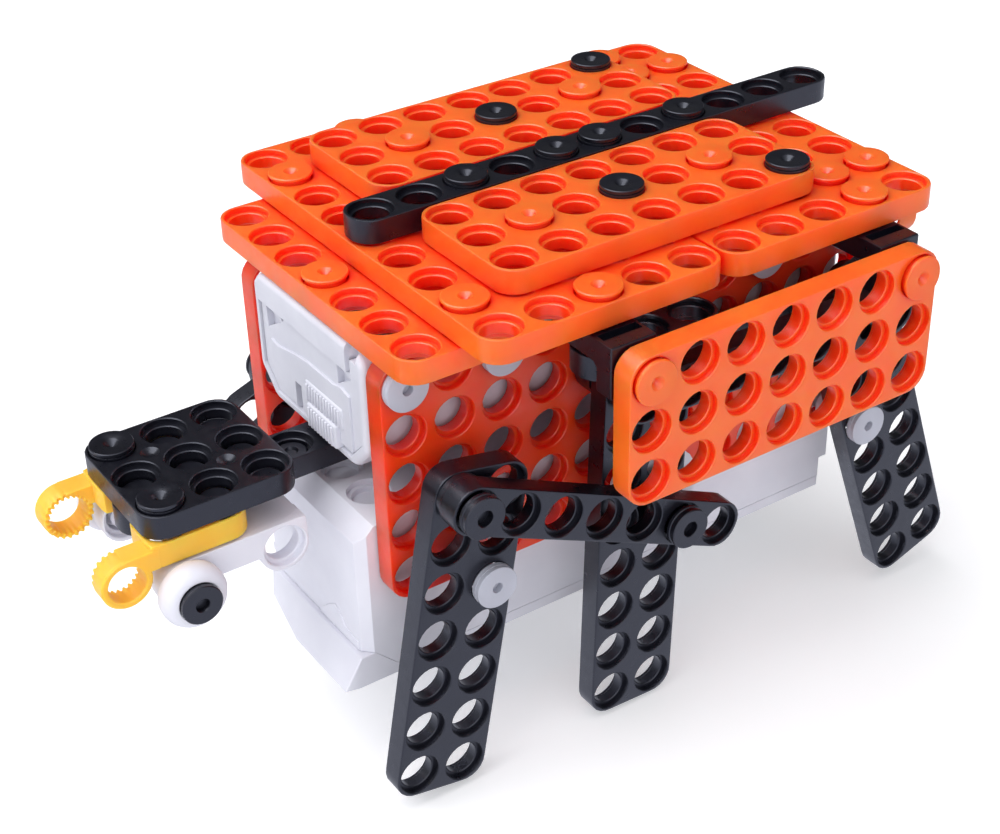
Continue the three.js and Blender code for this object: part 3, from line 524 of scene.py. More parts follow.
def surface(
    name, dark, light, roughness, grain, metallic=0, depth=0, reach=(1, 0.3, 0.1), specular=0.5,
    tint=(1, 1, 1), painted_shade=None,
):
    """A moulded or rolled surface with mottled colour, hazy gloss and fine grain, and painted shade in holes
    and corners when a shade colour is given.
    """
    material = bpy.data.materials.new(name + LOOK)
    material.use_nodes = True
    nodes = Nodes(material.node_tree)
    place = nodes.add("ShaderNodeTexCoord").outputs["Object"]
    shader = nodes.add("ShaderNodeBsdfPrincipled")
    mottle = noise(nodes, place, MOTTLE_SCALE)
    colour = blended(nodes, ranged(nodes, mottle, 0, 1), dark, light)
    # painted shade: the colour darkens and reddens in holes and corners
    if painted_shade:
        colour = painted_crevice_shade(nodes, colour, painted_shade)
    nodes.link(colour, shader.inputs["Base Color"])
    haze = noise(nodes, place, HAZE_SCALE)
    nodes.link(ranged(nodes, haze, roughness[0], roughness[1]), shader.inputs["Roughness"])
    bump = nodes.add("ShaderNodeBump")
    bump.inputs["Strength"].default_value = grain
    bump.inputs["Distance"].default_value = GRAIN_DEPTH * MM
    nodes.link(noise(nodes, place, GRAIN_SCALE, 4, 0.6), bump.inputs["Height"])
    nodes.link(bump.outputs["Normal"], shader.inputs["Normal"])
    shader.inputs["Metallic"].default_value = metallic
    shader.inputs["Specular IOR Level"].default_value = specular
    shader.inputs["Specular Tint"].default_value = (*tint, 1)
    if depth:
        shader.inputs["Subsurface Weight"].default_value = 1
        shader.inputs["Subsurface Radius"].default_value = reach
        shader.inputs["Subsurface Scale"].default_value = depth * MM
    output = nodes.add("ShaderNodeOutputMaterial")
    nodes.link(shader.outputs["BSDF"], output.inputs["Surface"])
    return material


# The last colour given to each orange below is painted shade for its holes and corners.
ORANGE = surface(
    "orange_plastic", srgb(255, 100, 20), srgb(255, 117, 30), (0.3, 0.42), 0.25,
    depth=1.6, reach=(1, 0.25, 0.1), specular=0.95, painted_shade=srgb(250, 32, 6),
)
# A darker, redder copy of the orange plastic: painted shade for the side plates, which lie in the shadow of
# the deck and panels.
SHADED_ORANGE = surface(
    "shaded_orange_plastic", srgb(240, 60, 10), srgb(244, 74, 16), (0.3, 0.42), 0.25,
    depth=4, reach=(1, 0.06, 0.02), specular=0.8, painted_shade=srgb(225, 30, 8),
)
BLACK = surface(
    "black_plastic", srgb(7, 7, 14), srgb(13, 13, 22), (0.26, 0.38), 0.3,
    specular=0.75, tint=(0.82, 0.85, 1),
)
# A dimmer copy of the white plastic: painted shade for the battery case and its door, which lie under the
# deck's overhang.
SHADED_WHITE = surface(
    "shaded_white_plastic", srgb(206, 206, 216), srgb(214, 214, 223), (0.36, 0.5), 0.2,
)
WHITE = surface("white_plastic", srgb(222, 222, 232), srgb(229, 229, 238), (0.36, 0.5), 0.2)
YELLOW = surface(
    "yellow_plastic", srgb(255, 188, 62), srgb(255, 202, 84), (0.34, 0.46), 0.22,
    depth=0.8, reach=(1, 0.7, 0.3),
)
GREY = surface("grey_plastic", srgb(172, 173, 184), srgb(184, 186, 198), (0.28, 0.4), 0.2)
STEEL = surface("steel", srgb(172, 174, 180), srgb(196, 198, 204), (0.22, 0.36), 0.3, metallic=1)
BRASS = surface("contact_brass", srgb(190, 152, 84), srgb(212, 176, 108), (0.24, 0.4), 0.3, metallic=1)
JACKET = surface("cell_jacket", srgb(150, 104, 44), srgb(176, 126, 60), (0.25, 0.35), 0.15)


# Decks, panels and beams

def deck_plates():
    wide, narrow = -4 * PITCH, -3 * PITCH
    flats = [
        ("deck_front", 9, 5, wide, DECK_FRONT_HOLE, DECK_TOP, ORANGE),
        ("deck_rear", 9, 5, wide, DECK_REAR_HOLE, DECK_TOP, ORANGE),
        ("under_deck_front", 7, 3, narrow, UNDER_FRONT_HOLE, UNDER_DECK_TOP, ORANGE),
        ("under_deck_rear", 7, 3, narrow, UNDER_REAR_HOLE, UNDER_DECK_TOP, ORANGE),
        ("top_pad_left", 3, 7, narrow, PAD_FIRST_HOLE, PAD_TOP, ORANGE),
        ("top_pad_right", 3, 7, PITCH, PAD_FIRST_HOLE, PAD_TOP, ORANGE),
        ("spine_beam", 1, 11, 0, DECK_FRONT_HOLE, PAD_TOP, BLACK),
        ("bracket_bar_left", 1, 3, -BRACKET_HOLE, BRACKET_PLACES["front"], BAR_TOP, BLACK),
        ("bracket_bar_right", 1, 3, BRACKET_HOLE, BRACKET_PLACES["front"], BAR_TOP, BLACK),
    ]
    for name, columns, rows, x, y, top, material in flats:
        fine(name, plate(columns, rows).moved(flat(x, y, top - SHEET)), material)
    strip = plate(7, 1).moved(facing(narrow, REAR_STRIP_FACE, SIDE_TOP_ROW + REAR_STRIP_RISE))
    fine("rear_strip", strip, ORANGE)


def side_plates():
    """The side plates, whose shaft bore takes the place of two holes of the bottom row."""
    skips = [(5, 0), (6, 0)]
    bore_x = CRANK_AXIS - SIDE_FIRST_HOLE
    west = bore_x - 4.5 * PITCH
    east = 6.5 * PITCH - bore_x
    bore = cell(bore_x, 0, west, east, EDGE, PITCH / 2, {"south"}, BORE_RADIUS, BORE_RADIUS)
    for name, side in SIDES.items():
        shape = celled_plate(grid_cells(11, SIDE_ROWS, skips) + [bore])
        place = upright(side, SIDE_INNER, SIDE_FIRST_HOLE, AXLE_HEIGHT)
        # The side plates take the darker copy of the orange: painted shade.
        fine(f"side_plate_{name}", shape.moved(place), SHADED_ORANGE)


def side_panels():
    rows = 3
    for name, side in SIDES.items():
        place = upright(side, PANEL_INNER, PANEL_FIRST_HOLE, PANEL_TOP_ROW - (rows - 1) * PITCH)
        fine(f"side_panel_{name}", plate(7, rows).moved(place), ORANGE)


# Rivets

RIVET_RADIUS = 2.45
STEM_RADIUS = 1.9
SUNK = -0.68
RIVET_STEM = [(STEM_RADIUS, SUNK), (STEM_RADIUS, -2.7), (0, -2.7)]
LOW_RIVET = [
    (0, 0.12), (0.22, 0.12), (0.78, 0.68), (0.9, 0.74), (2.44, 0.74), (2.54, 0.64), (2.54, 0.42),
    (2.44, 0.32), (2.26, 0.3), (2.26, SUNK), *RIVET_STEM,
]
TALL_RIVET = [
    (0, 0.1), (0.22, 0.1), (0.78, 0.72), (0.88, 0.78), (2.34, 0.78), (2.42, 0.7), (2.42, 0.46),
    (2.3, 0.4), (2.3, 0.3), (2.44, 0.24), (2.44, SUNK), *RIVET_STEM,
]
DISC_HEAD = [
    (0, 0.2), (0.6, 0.2), (0.64, 0.94), (0.72, 1.0), (2.42, 1.0), (2.54, 0.9), (2.54, 0.5),
    (2.47, 0.45), (2.47, 0.37), (2.54, 0.32), (2.54, -0.2), (2.46, -0.27),
]
DISC_RIVET = [*DISC_HEAD, *RIVET_STEM]


def rivet(name, profile, material, matrix, body="chassis"):
    piece_of(name, mesh_of(turned(profile).moved(matrix), name), material, body)


def deck_rivets():
    """Rivets of the deck, at columns and rows of its grid."""
    low = {
        UNDER_DECK_TOP: [(4, -1)],
        DECK_TOP: [(1, 0), (7, 0), (8, 2), (0, 2), (8, 8), (0, 8), (7, 9), (7, 8), (1, 9), (1, 8)],
        PAD_TOP: [(2, 2), (2, 6), (6, 2), (6, 6)],
    }
    tall = {PAD_TOP: [(2, 4), (1, 7), (6, 4), (7, 7), (4, 2), (4, 4), (4, 5), (4, 7)]}
    for label, heights, profile, material in (
        ("orange_rivet", low, LOW_RIVET, ORANGE),
        ("black_rivet", tall, TALL_RIVET, BLACK),
    ):
        count = 0
        for height, places in heights.items():
            for column, row in places:
                count += 1
                x = (column - 4) * PITCH
                y = (row - 4.5) * PITCH
                rivet(f"{label}_{count}", profile, material, flat(x, y, height))


def side_rivets():
    for name, side in SIDES.items():
        for end, place in BRACKET_PLACES.items():
            matrix = upright(side, PANEL_OUTER, place, PANEL_TOP_ROW)
            rivet(f"panel_rivet_{end}_{name}", LOW_RIVET, ORANGE, matrix)
    for index, column in enumerate((0, 2, 8, 10)):
        matrix = upright(1, SIDE_OUTER, SIDE_FIRST_HOLE + column * PITCH, SIDE_TOP_ROW)
        rivet(f"side_rivet_{index + 1}", DISC_RIVET, GREY, matrix)


# Brackets

BRACKET_INNER = 21.3
BRACKET_OUTER = PANEL_INNER - SEAT_GAP
BRACKET_WEB = 2.6
BRACKET_GUSSET = 0.5
BRACKET_SLOT = {"place": 27.6, "width": 1.2, "length": 4.8, "depth": 0.8}
BRACKET_ROUNDING = 0.25
BRACKET_BORE = 3.1


def drilled(x, y, z, direction, depth, radius=HOLE_RADIUS, rim=RIM_RADIUS, rim_depth=RIM_DEPTH):
    """A round cutter with a shallow wider mouth, which starts at a face and goes in along a direction."""
    over = SEAT_GAP
    profile = [(rim, over), (rim, -rim_depth), (radius, -rim_depth), (radius, -depth)]
    turn = Vector((0, 0, -1)).rotation_difference(Vector(direction)).to_matrix().to_4x4()
    return turned(profile, HOLE_RAYS).moved(flat(x, y, z) @ turn)


def brackets():
    """Angle brackets that hang under the deck and carry the side panels."""
    top = UNDER_DECK_TOP
    flange = top - SHEET
    bottom = top - PITCH
    web = BRACKET_OUTER - BRACKET_WEB
    for name, side in SIDES.items():
        outline = [
            (side * BRACKET_INNER, top), (side * BRACKET_INNER, flange),
            (side * (web - BRACKET_GUSSET), flange), (side * web, flange - BRACKET_GUSSET),
            (side * web, bottom), (side * BRACKET_OUTER, bottom), (side * BRACKET_OUTER, top),
        ]
        for end, place in BRACKET_PLACES.items():
            solid = rounded(prism(outline, 2 * EDGE).moved(facing(0, place - EDGE, 0)), BRACKET_ROUNDING)
            slot = BRACKET_SLOT
            slot_x = side * slot["place"]
            half = slot["width"] / 2
            cutters = [
                drilled(side * BRACKET_HOLE, place, top, DOWN, 2 * SHEET),
                drilled(side * BRACKET_OUTER, place, PANEL_TOP_ROW, (-side, 0, 0), BRACKET_BORE),
                box(
                    slot_x - half, slot_x + half, place - slot["length"] / 2, place + slot["length"] / 2,
                    top - slot["depth"], top + SEAT_GAP,
                ),
            ]
            fine(f"bracket_{end}_{name}", carved(solid, cutters), BLACK)


# Walking linkage

def meeting(one, radius_one, two, radius_two):
    """Where two circles meet, on the upper side."""
    line = two - one
    distance = line.length
    along = (distance ** 2 + radius_one ** 2 - radius_two ** 2) / (2 * distance)
    across = math.sqrt(radius_one ** 2 - along ** 2)
    line.normalize()
    foot = one + line * along
    sideways = Vector((-line.y, line.x)) * across
    return max(foot + sideways, foot - sideways, key=lambda point: point.y)


def direction(vector):
    return math.atan2(vector.y, vector.x)


def linkage(name):
    """Pivots and angles of one side's walking linkage at rest, in the plane of Y and Z."""
    side = SIDES[name]
    pin = Vector((CRANK_AXIS - side * CRANK_THROW, AXLE_HEIGHT))
    front_pivot = Vector((FRONT_PIVOT, AXLE_HEIGHT))
    rear_pivot = Vector((REAR_PIVOT, AXLE_HEIGHT))
    lever = Vector(FRONT_LEVERS[name]) * PITCH
    reach = Vector(COUPLER_REACH) * PITCH
    rocker = Vector((0, ROCKER_ROWS * PITCH))
    front_pin = meeting(pin, LINK_SPAN * PITCH, front_pivot, lever.length)
    rear_pin = meeting(pin, reach.length, rear_pivot, rocker.length)
    return {
        "pin": pin,
        "front_pivot": front_pivot,
        "rear_pivot": rear_pivot,
        "front_pin": front_pin,
        "rear_pin": rear_pin,
        "front_turn": direction(front_pin - front_pivot) - direction(lever),
        "link_turn": direction(front_pin - pin),
        "coupler_turn": direction(rear_pin - pin) - direction(reach),
        "rear_turn": direction(rear_pin - rear_pivot) - direction(rocker),
    }


PEG_RADIUS = 1.5
PEG_HEAD = [
    (0, 0.35), (0.88, 0.35), (0.94, 1.14), (1.02, 1.22), (2.38, 1.22), (2.48, 1.12), (2.48, 0.8),
    (2.36, 0.72), (2.36, 0.42), (2.48, 0.34), (2.48, 0),
]
FLUSH_HEAD = [(0, 0.25), (2.3, 0.25), (2.4, 0.15), (2.4, 0)]
PEG_END_ROUNDING = 0.2
PEG_SET_BACK = 0.35  # how far a peg's end lies inside the mouth of its hole
CRANK_THICKNESS = 2
WASHER_RADIUS = 2.75
WASHER_GAP = 0.04


def stem(profile, length):
    """Adds a peg's round stem below its head, with the washer between link and leg."""
    end = PEG_RADIUS - PEG_END_ROUNDING
    link_back = LINK_INNER - LINK_OUTER - SEAT_GAP
    washer_top = link_back - WASHER_GAP
    washer_low = link_back - LINK_GAP + WASHER_GAP
    return profile + [
        (PEG_RADIUS, 0), (PEG_RADIUS, washer_top), (WASHER_RADIUS, washer_top),
        (WASHER_RADIUS, washer_low), (PEG_RADIUS, washer_low),
        (PEG_RADIUS, -length + PEG_END_ROUNDING), (end, -length), (0, -length),
    ]


def pivot_profile(head):
    """A leg pivot: head, stem, the collar behind the leg and the end in the side plate."""
    start = LEG_OUTER + SEAT_GAP
    collar_top = INNER_LINK_OUTER - start
    collar_low = INNER_LINK_INNER - start
    end = BODY_HALF_WIDTH + PEG_SET_BACK - start
    collar = RIVET_RADIUS
    return head + [
        (PEG_RADIUS, 0), (PEG_RADIUS, collar_top), (collar - PEG_END_ROUNDING, collar_top),
        (collar, collar_top - PEG_END_ROUNDING), (collar, collar_low + PEG_END_ROUNDING),
        (collar - PEG_END_ROUNDING, collar_low), (PEG_RADIUS, collar_low), (PEG_RADIUS, end), (0, end),
    ]


STRAP_HALF_WIDTH = 1.3
EYE_STEPS = 20


def strap(length, thickness, place):
    """A slim cheek with a round eye at each end, whose first eye is at the place."""
    start = math.asin(STRAP_HALF_WIDTH / EDGE)
    low, high = -OVERRUN, thickness + OVERRUN
    outline = []
    bores = []
    for centre, first in ((0, start), (length, math.pi + start)):
        outline += arc(centre, 0, EDGE, first, 2 * (math.pi - start), EYE_STEPS)
        bore = turned([(0, low), (HOLE_RADIUS, low), (HOLE_RADIUS, high), (0, high)])
        bores.append(bore.moved(place @ flat(centre, 0, 0)))
    return carved(mesh_of(prism(outline, thickness).moved(place), "strap"), bores)


def walking_side(name):
    """The legs, links, pegs and pivots of one side."""
    side = SIDES[name]
    link = linkage(name)
    coupler = upright(side, 0, *link["pin"], link["coupler_turn"])
    front_leg = upright(side, 0, *link["front_pivot"], link["front_turn"])
    rear_leg = upright(side, 0, *link["rear_pivot"], link["rear_turn"])
    front_link = upright(side, 0, *link["pin"], link["link_turn"])
    parts = [
        ("front_leg", pivoted(2, FRONT_LEG_ROWS[name], 1, LEG_PIVOT_ROW), LEG_INNER, front_leg, "front_leg"),
        ("middle_leg", pivoted(2, LONG_LEG_ROWS, 1, LEG_PIVOT_ROW), LEG_INNER, coupler, "middle_leg"),
        ("rear_leg", pivoted(2, LONG_LEG_ROWS, 0, LEG_PIVOT_ROW), LEG_INNER, rear_leg, "rear_leg"),
        ("rear_link_outer", pivoted(LINK_HOLES, 1, 1, -ROCKER_ROWS), LINK_INNER, coupler, "middle_leg"),
        ("front_link", pivoted(LINK_HOLES, 1, 1, 0), LINK_INNER, front_link, "front_link"),
    ]
    for node, shape, inner, place, body in parts:
        fine(f"{node}_{name}", shape.moved(place @ flat(0, 0, inner)), BLACK, f"{body}_{name}")
    cheek_place = coupler @ flat(-PITCH, ROCKER_ROWS * PITCH, INNER_LINK_INNER)
    cheek = strap((LINK_HOLES - 1) * PITCH, INNER_LINK_OUTER - INNER_LINK_INNER, cheek_place)
    fine(f"rear_link_inner_{name}", cheek, BLACK, f"middle_leg_{name}")
    head_place = LINK_OUTER + SEAT_GAP
    reach = Vector(COUPLER_REACH) * PITCH
    front_place = front_link @ flat(LINK_SPAN * PITCH, 0, head_place)
    rear_place = coupler @ flat(reach.x, reach.y, head_place)
    crank_place = upright(side, head_place, *link["pin"])
    crank_start = INNER_LINK_OUTER - CRANK_THICKNESS + PEG_SET_BACK
    pegs = [
        ("front_link_peg", front_place, LEG_INNER + SEAT_GAP, f"front_link_{name}"),
        ("rear_link_peg", rear_place, INNER_LINK_INNER + PEG_SET_BACK, f"middle_leg_{name}"),
        ("crank_peg", crank_place, crank_start, "output"),
    ]
    for node, place, start, body in pegs:
        fine(f"{node}_{name}", turned(stem(PEG_HEAD, head_place - start)).moved(place), BLACK, body)
    for end, head in (("front", DISC_HEAD if side > 0 else FLUSH_HEAD), ("rear", DISC_HEAD)):
        place = upright(side, LEG_OUTER + SEAT_GAP, *link[f"{end}_pivot"])
        fine(f"{end}_pivot_{name}", turned(pivot_profile(head)).moved(place), GREY)


# Battery case

CASE_FRONT = -6 * PITCH
CASE_REAR = 5 * PITCH
CASE_BOTTOM = -21.5
CASE_WALL = 1.2
CASE_CORNER = 3.2  # cut off the case's lower edges
CASE_TOP_CORNER = 1.4  # cut off the case's upper edges
CASE_ROUNDING = 0.8
BAY_REAR = 17.6
CASE_LIP = 3.4
BAY_HALF_WIDTH = BODY_HALF_WIDTH - CASE_WALL
BAY_BOTTOM = CASE_BOTTOM + CASE_WALL
BAY_TOP = BODY_TOP - CASE_WALL
DOOR_OPENING_TOP = BODY_TOP - CASE_LIP
DOOR_THICKNESS = 2
DOOR_SEAM = 0.12
DOOR_HALF_WIDTH = BAY_HALF_WIDTH - 0.08
INNER_CORNER = CASE_CORNER - CASE_WALL / 2
WELL_HALF_WIDTH = BAY_HALF_WIDTH - 2 * CASE_WALL

# Notches above the door: left and right edge, depth and lower edge
CASE_NOTCHES = [(8.5, 9.5, 0.9, DOOR_OPENING_TOP), (9.5, 10.8, 1.1, BODY_TOP - 1.5)]


def cut_corner_outline(half, low, high, corner, top=0):
    """A front view outline whose lower corners are cut off."""
    return [
        (-half, low + corner), (-half + corner, low), (half - corner, low), (half, low + corner),
        (half, high - top), (half - top, high), (-half + top, high), (-half, high - top),
    ]


def along(outline, front, rear):
    """A front view outline drawn out from front to rear."""
    return prism(outline, rear - front).moved(facing(0, front, 0))


def cut_below_outline(half, low, high, corner):
    """A front view outline whose lower corners alone are cut off."""
    return cut_corner_outline(half, low, high, corner)[:5] + [(-half, high)]


def battery_case():
    outline = cut_corner_outline(BODY_HALF_WIDTH, CASE_BOTTOM, BODY_TOP, CASE_CORNER, CASE_TOP_CORNER)
    solid = rounded(along(outline, CASE_FRONT, CASE_REAR), CASE_ROUNDING, 3, math.radians(20))
    lip_rear = CASE_FRONT + DOOR_THICKNESS + SEAT_GAP
    doorway = cut_below_outline(BAY_HALF_WIDTH, BAY_BOTTOM, DOOR_OPENING_TOP, INNER_CORNER)
    bay = cut_below_outline(BAY_HALF_WIDTH, BAY_BOTTOM, BAY_TOP, INNER_CORNER)
    start = CASE_FRONT - OVERRUN
    well = WELL_HALF_WIDTH
    cutters = [
        along(doorway, start, lip_rear + OVERRUN),
        along(bay, lip_rear, BAY_REAR),
        box(-well, well, BAY_REAR + CASE_WALL, CASE_REAR - CASE_WALL, CASE_BOTTOM - OVERRUN, BAY_TOP),
    ]
    for left, right, depth, low in CASE_NOTCHES:
        cutters.append(box(left, right, start, CASE_FRONT + depth, low, BODY_TOP + OVERRUN))
    # The case takes the dimmer copy of the white: painted shade.
    fine("battery_case", carved(solid, cutters), SHADED_WHITE)


DOOR_POCKETS = [
    [(-9.6, -9.5), (-9.4, -12.5), (-6.2, -10.6)],
    [(-7.6, -9.5), (-5.0, -9.5), (-5.8, -10.3)],
    [(6.1, -9.6), (6.1, -12.3), (9.0, -10.5)],
]
DOOR_HUMP = [
    (-8.7, -13.6), (-7.1, -13.9), (-3.8, -13.2), (-0.4, -12.7), (5.2, -12.7), (7.0, -12.3),
    (8.6, -12.7), (8.6, -19.6), (-3.4, -19.9), (-8.7, -18.4),
]
DOOR_FACE = CASE_FRONT + 0.3
DOOR_ROUNDING = 0.1
POCKET_DEPTH = 1.1
HUMP_REACH = 0.5
HUMP_ROUNDING = 0.12
LATCH_SLOT = {"left": -3.5, "right": -2.1, "low": -21.5, "high": -16.6, "depth": 1.6}

# Thumb steps: left, right, lower and upper edge, and how far each stands out
THUMB_TIERS = [(-0.9, 7.1, -17.7, -15.0, 0.35), (-0.1, 6.2, -20.4, -17.4, 0.8)]
TIER_RELIEF = 0.15
TIER_ROOT = 0.6
TIER_ROUNDING = 0.3
RIB_STEP = 0.62
RIB = {"half": 0.16, "proud": 0.05, "root": 0.4, "margin": 0.3, "rounding": 0.08}


def door_leaf():
    """The door's plate with its corner pockets, its raised lower half and the slot of its latch."""
    top = DOOR_OPENING_TOP - DOOR_SEAM
    outline = cut_below_outline(DOOR_HALF_WIDTH, BAY_BOTTOM + DOOR_SEAM, top, INNER_CORNER)
    leaf = rounded(along(outline, DOOR_FACE, CASE_FRONT + DOOR_THICKNESS), DOOR_ROUNDING)
    hump = rounded(along(DOOR_HUMP, CASE_FRONT, DOOR_FACE + HUMP_REACH), HUMP_ROUNDING)
    start = CASE_FRONT - OVERRUN
    cutters = [along(pocket, start, CASE_FRONT + POCKET_DEPTH) for pocket in DOOR_POCKETS]
    slot = LATCH_SLOT
    end = CASE_FRONT + slot["depth"]
    cutters.append(box(slot["left"], slot["right"], start, end, slot["low"], slot["high"]))
    return carved(carved(leaf, [hump], "UNION"), cutters)


def battery_door():
    """The door with its two ribbed thumb steps."""
    parts = [door_leaf()]
    for left, right, low, high, proud in THUMB_TIERS:
        face = CASE_FRONT - proud
        tier = box(left, right, face + TIER_RELIEF, CASE_FRONT + TIER_ROOT, low, high)
        parts.append(rounded(tier, TIER_ROUNDING, 3))
        ribs = round((right - left) / RIB_STEP) - 1
        start, end = face - RIB["proud"], face + RIB["root"]
        bottom, top = low + RIB["margin"], high - RIB["margin"]
        for index in range(ribs):
            x = (left + right) / 2 + (index - (ribs - 1) / 2) * RIB_STEP
            rib = box(x - RIB["half"], x + RIB["half"], start, end, bottom, top)
            parts.append(rounded(rib, RIB["rounding"], 1))
    # The door takes the dimmer copy of the white: painted shade.
    fine("battery_door", merged(*parts), SHADED_WHITE, "battery_door")


# Gearbox

GEARBOX_TOP = -27.3
GEARBOX_FRONT = -38.1
GEARBOX_REAR = 30.6
GEARBOX_SEAM = -44.35
GEARBOX_WALL = 1.5
GEARBOX_TOP_CHAMFER = 2.1
GEARBOX_SIDE_CHAMFER = 1.1
GEARBOX_ROUNDING = 0.22
LEFT_CORNER = 3  # cut off the left front corner of shell and tray
LEFT_TOP_CHAMFER = 2.6
TRAY_TOP = GEARBOX_SEAM - 0.05
TRAY_BOTTOM = -48.6
TRAY_LIP = GEARBOX_FRONT - 0.6
TRAY_NOSE = -40.9
TRAY_NOSE_START = 0.2
TRAY_REAR = 29.4
SKIRT_FRONT = GEARBOX_FRONT + 1.2
SKIRT_BOTTOM = -47.1
SKIRT_DROP = GEARBOX_SEAM - SKIRT_BOTTOM
SKIRT_THICKNESS = 1
SKIRT_GAP = 0.03
SKIRT_ROOT = 1
TRAY_ROUNDING = 0.2
TRAY_EDGE = 0.1
NOSE_SWELL = 0.3
NOSE_TAPER = 0.4
MOUNT_HOLE_ROW = -5.5 * PITCH
MOUNT_HOLE_FLOOR = 0.1
SHELL_HALF_INNER = BODY_HALF_WIDTH - GEARBOX_WALL
SHELL_INNER_FRONT = GEARBOX_FRONT + GEARBOX_WALL

# Front view of the tab on the tray's rim, above the rim
TAB = [
    (1.7, 0), (2.5, 1.2), (4.3, 2.7), (5.7, 3.5), (6.6, 2.7), (7.7, 1.5), (9.4, 1.2), (10.7, 1.1),
    (10.7, 0),
]
TAB_PROUD = 0.14
TAB_ROOT = 0.1
TAB_ROUNDING = 0.12


def shaft_bore():
    reach = BODY_HALF_WIDTH + OVERRUN
    place = upright(1, -reach, CRANK_AXIS, AXLE_HEIGHT)
    return turned([(BORE_RADIUS, 0), (BORE_RADIUS, 2 * reach)], ROUND_SIDES).moved(place)


def side_skirts(margin):
    """The low edges of the shell's two sides, which reach down over the tray behind its nose."""
    front, rear = SKIRT_FRONT - margin, TRAY_REAR + margin
    bottom = SKIRT_BOTTOM - margin
    outline = [
        (front, GEARBOX_SEAM + SKIRT_ROOT), (front, GEARBOX_SEAM), (front + SKIRT_DROP, bottom),
        (rear, bottom), (rear, GEARBOX_SEAM + SKIRT_ROOT),
    ]
    start = BODY_HALF_WIDTH - SKIRT_THICKNESS - margin
    depth = SKIRT_THICKNESS + 2 * margin
    skirt = prism(outline, depth)
    return [skirt.moved(upright(1, start, 0, 0)), skirt.moved(upright(1, -start - depth, 0, 0))]


def gearbox_shell():
    w = BODY_HALF_WIDTH
    side_cut = GEARBOX_SIDE_CHAMFER
    plan = [
        (-w, GEARBOX_FRONT + LEFT_CORNER), (-w + LEFT_CORNER, GEARBOX_FRONT), (w - side_cut, GEARBOX_FRONT),
        (w, GEARBOX_FRONT + side_cut), (w, GEARBOX_REAR), (-w, GEARBOX_REAR),
    ]
    outer = prism(plan, GEARBOX_TOP - GEARBOX_SEAM).moved(flat(0, 0, GEARBOX_SEAM))
    front, side_face = GEARBOX_FRONT - OVERRUN, -w - OVERRUN
    top = GEARBOX_TOP + OVERRUN
    front_cut, left_cut = GEARBOX_TOP_CHAMFER + OVERRUN, LEFT_TOP_CHAMFER + OVERRUN
    chamfer = [(front, GEARBOX_TOP - front_cut), (GEARBOX_FRONT + front_cut, top), (front, top)]
    wedge = prism(chamfer, -2 * side_face).moved(upright(1, side_face, 0, 0))
    left_chamfer = [(side_face, GEARBOX_TOP - left_cut), (-w + left_cut, top), (side_face, top)]
    left_wedge = along(left_chamfer, front, GEARBOX_REAR + OVERRUN)
    solid = carved(mesh_of(outer, "shell"), [wedge, left_wedge])
    solid = carved(solid, side_skirts(0), "UNION")
    softened(solid, GEARBOX_ROUNDING)
    inner = box(
        -SHELL_HALF_INNER, SHELL_HALF_INNER, SHELL_INNER_FRONT, GEARBOX_REAR - GEARBOX_WALL,
        GEARBOX_SEAM - OVERRUN, GEARBOX_TOP - GEARBOX_WALL,
    )
    cutters = [inner, shaft_bore()]
    for x in (0, PITCH):
        cutters.append(drilled(x, MOUNT_HOLE_ROW, GEARBOX_TOP, DOWN, GEARBOX_WALL - MOUNT_HOLE_FLOOR))
    fine("gearbox_shell", carved(solid, cutters), WHITE)


def gearbox_tray():
    """The tray, whose lower front edge comes forward into a nose, and the tab on its rim."""
    w = BODY_HALF_WIDTH
    left = -w + LEFT_CORNER
    rim = [
        (-w, TRAY_LIP + LEFT_CORNER), (left, TRAY_LIP), (TRAY_NOSE_START, TRAY_LIP),
        (w - TRAY_EDGE, TRAY_LIP), (w, TRAY_LIP + TRAY_EDGE), (w, TRAY_REAR), (-w, TRAY_REAR),
    ]
    base = [
        (-w, TRAY_LIP + LEFT_CORNER), (left, TRAY_LIP - NOSE_SWELL), (TRAY_NOSE_START, TRAY_NOSE),
        (w - NOSE_TAPER, TRAY_NOSE), (w, TRAY_LIP - NOSE_TAPER), (w, TRAY_REAR), (-w, TRAY_REAR),
    ]
    shape = Shape()
    top = shape.ring([(x, y, TRAY_TOP) for x, y in rim])
    bottom = shape.ring([(x, y, TRAY_BOTTOM) for x, y in base])
    shape.bridge(bottom, top)
    shape.cap(bottom)
    shape.cap(top)
    solid = softened(mesh_of(shape, "tray"), TRAY_ROUNDING)
    inner = box(
        -SHELL_HALF_INNER, SHELL_HALF_INNER, SHELL_INNER_FRONT, TRAY_REAR - GEARBOX_WALL,
        TRAY_BOTTOM + GEARBOX_WALL, TRAY_TOP + OVERRUN,
    )
    data = carved(solid, [inner] + side_skirts(SKIRT_GAP))
    outline = [(x, TRAY_TOP + rise) for x, rise in TAB]
    tongue = rounded(along(outline, GEARBOX_FRONT - TAB_PROUD, GEARBOX_FRONT + TAB_ROOT), TAB_ROUNDING)
    fine("gearbox_tray", merged(data, tongue), WHITE)


# Head

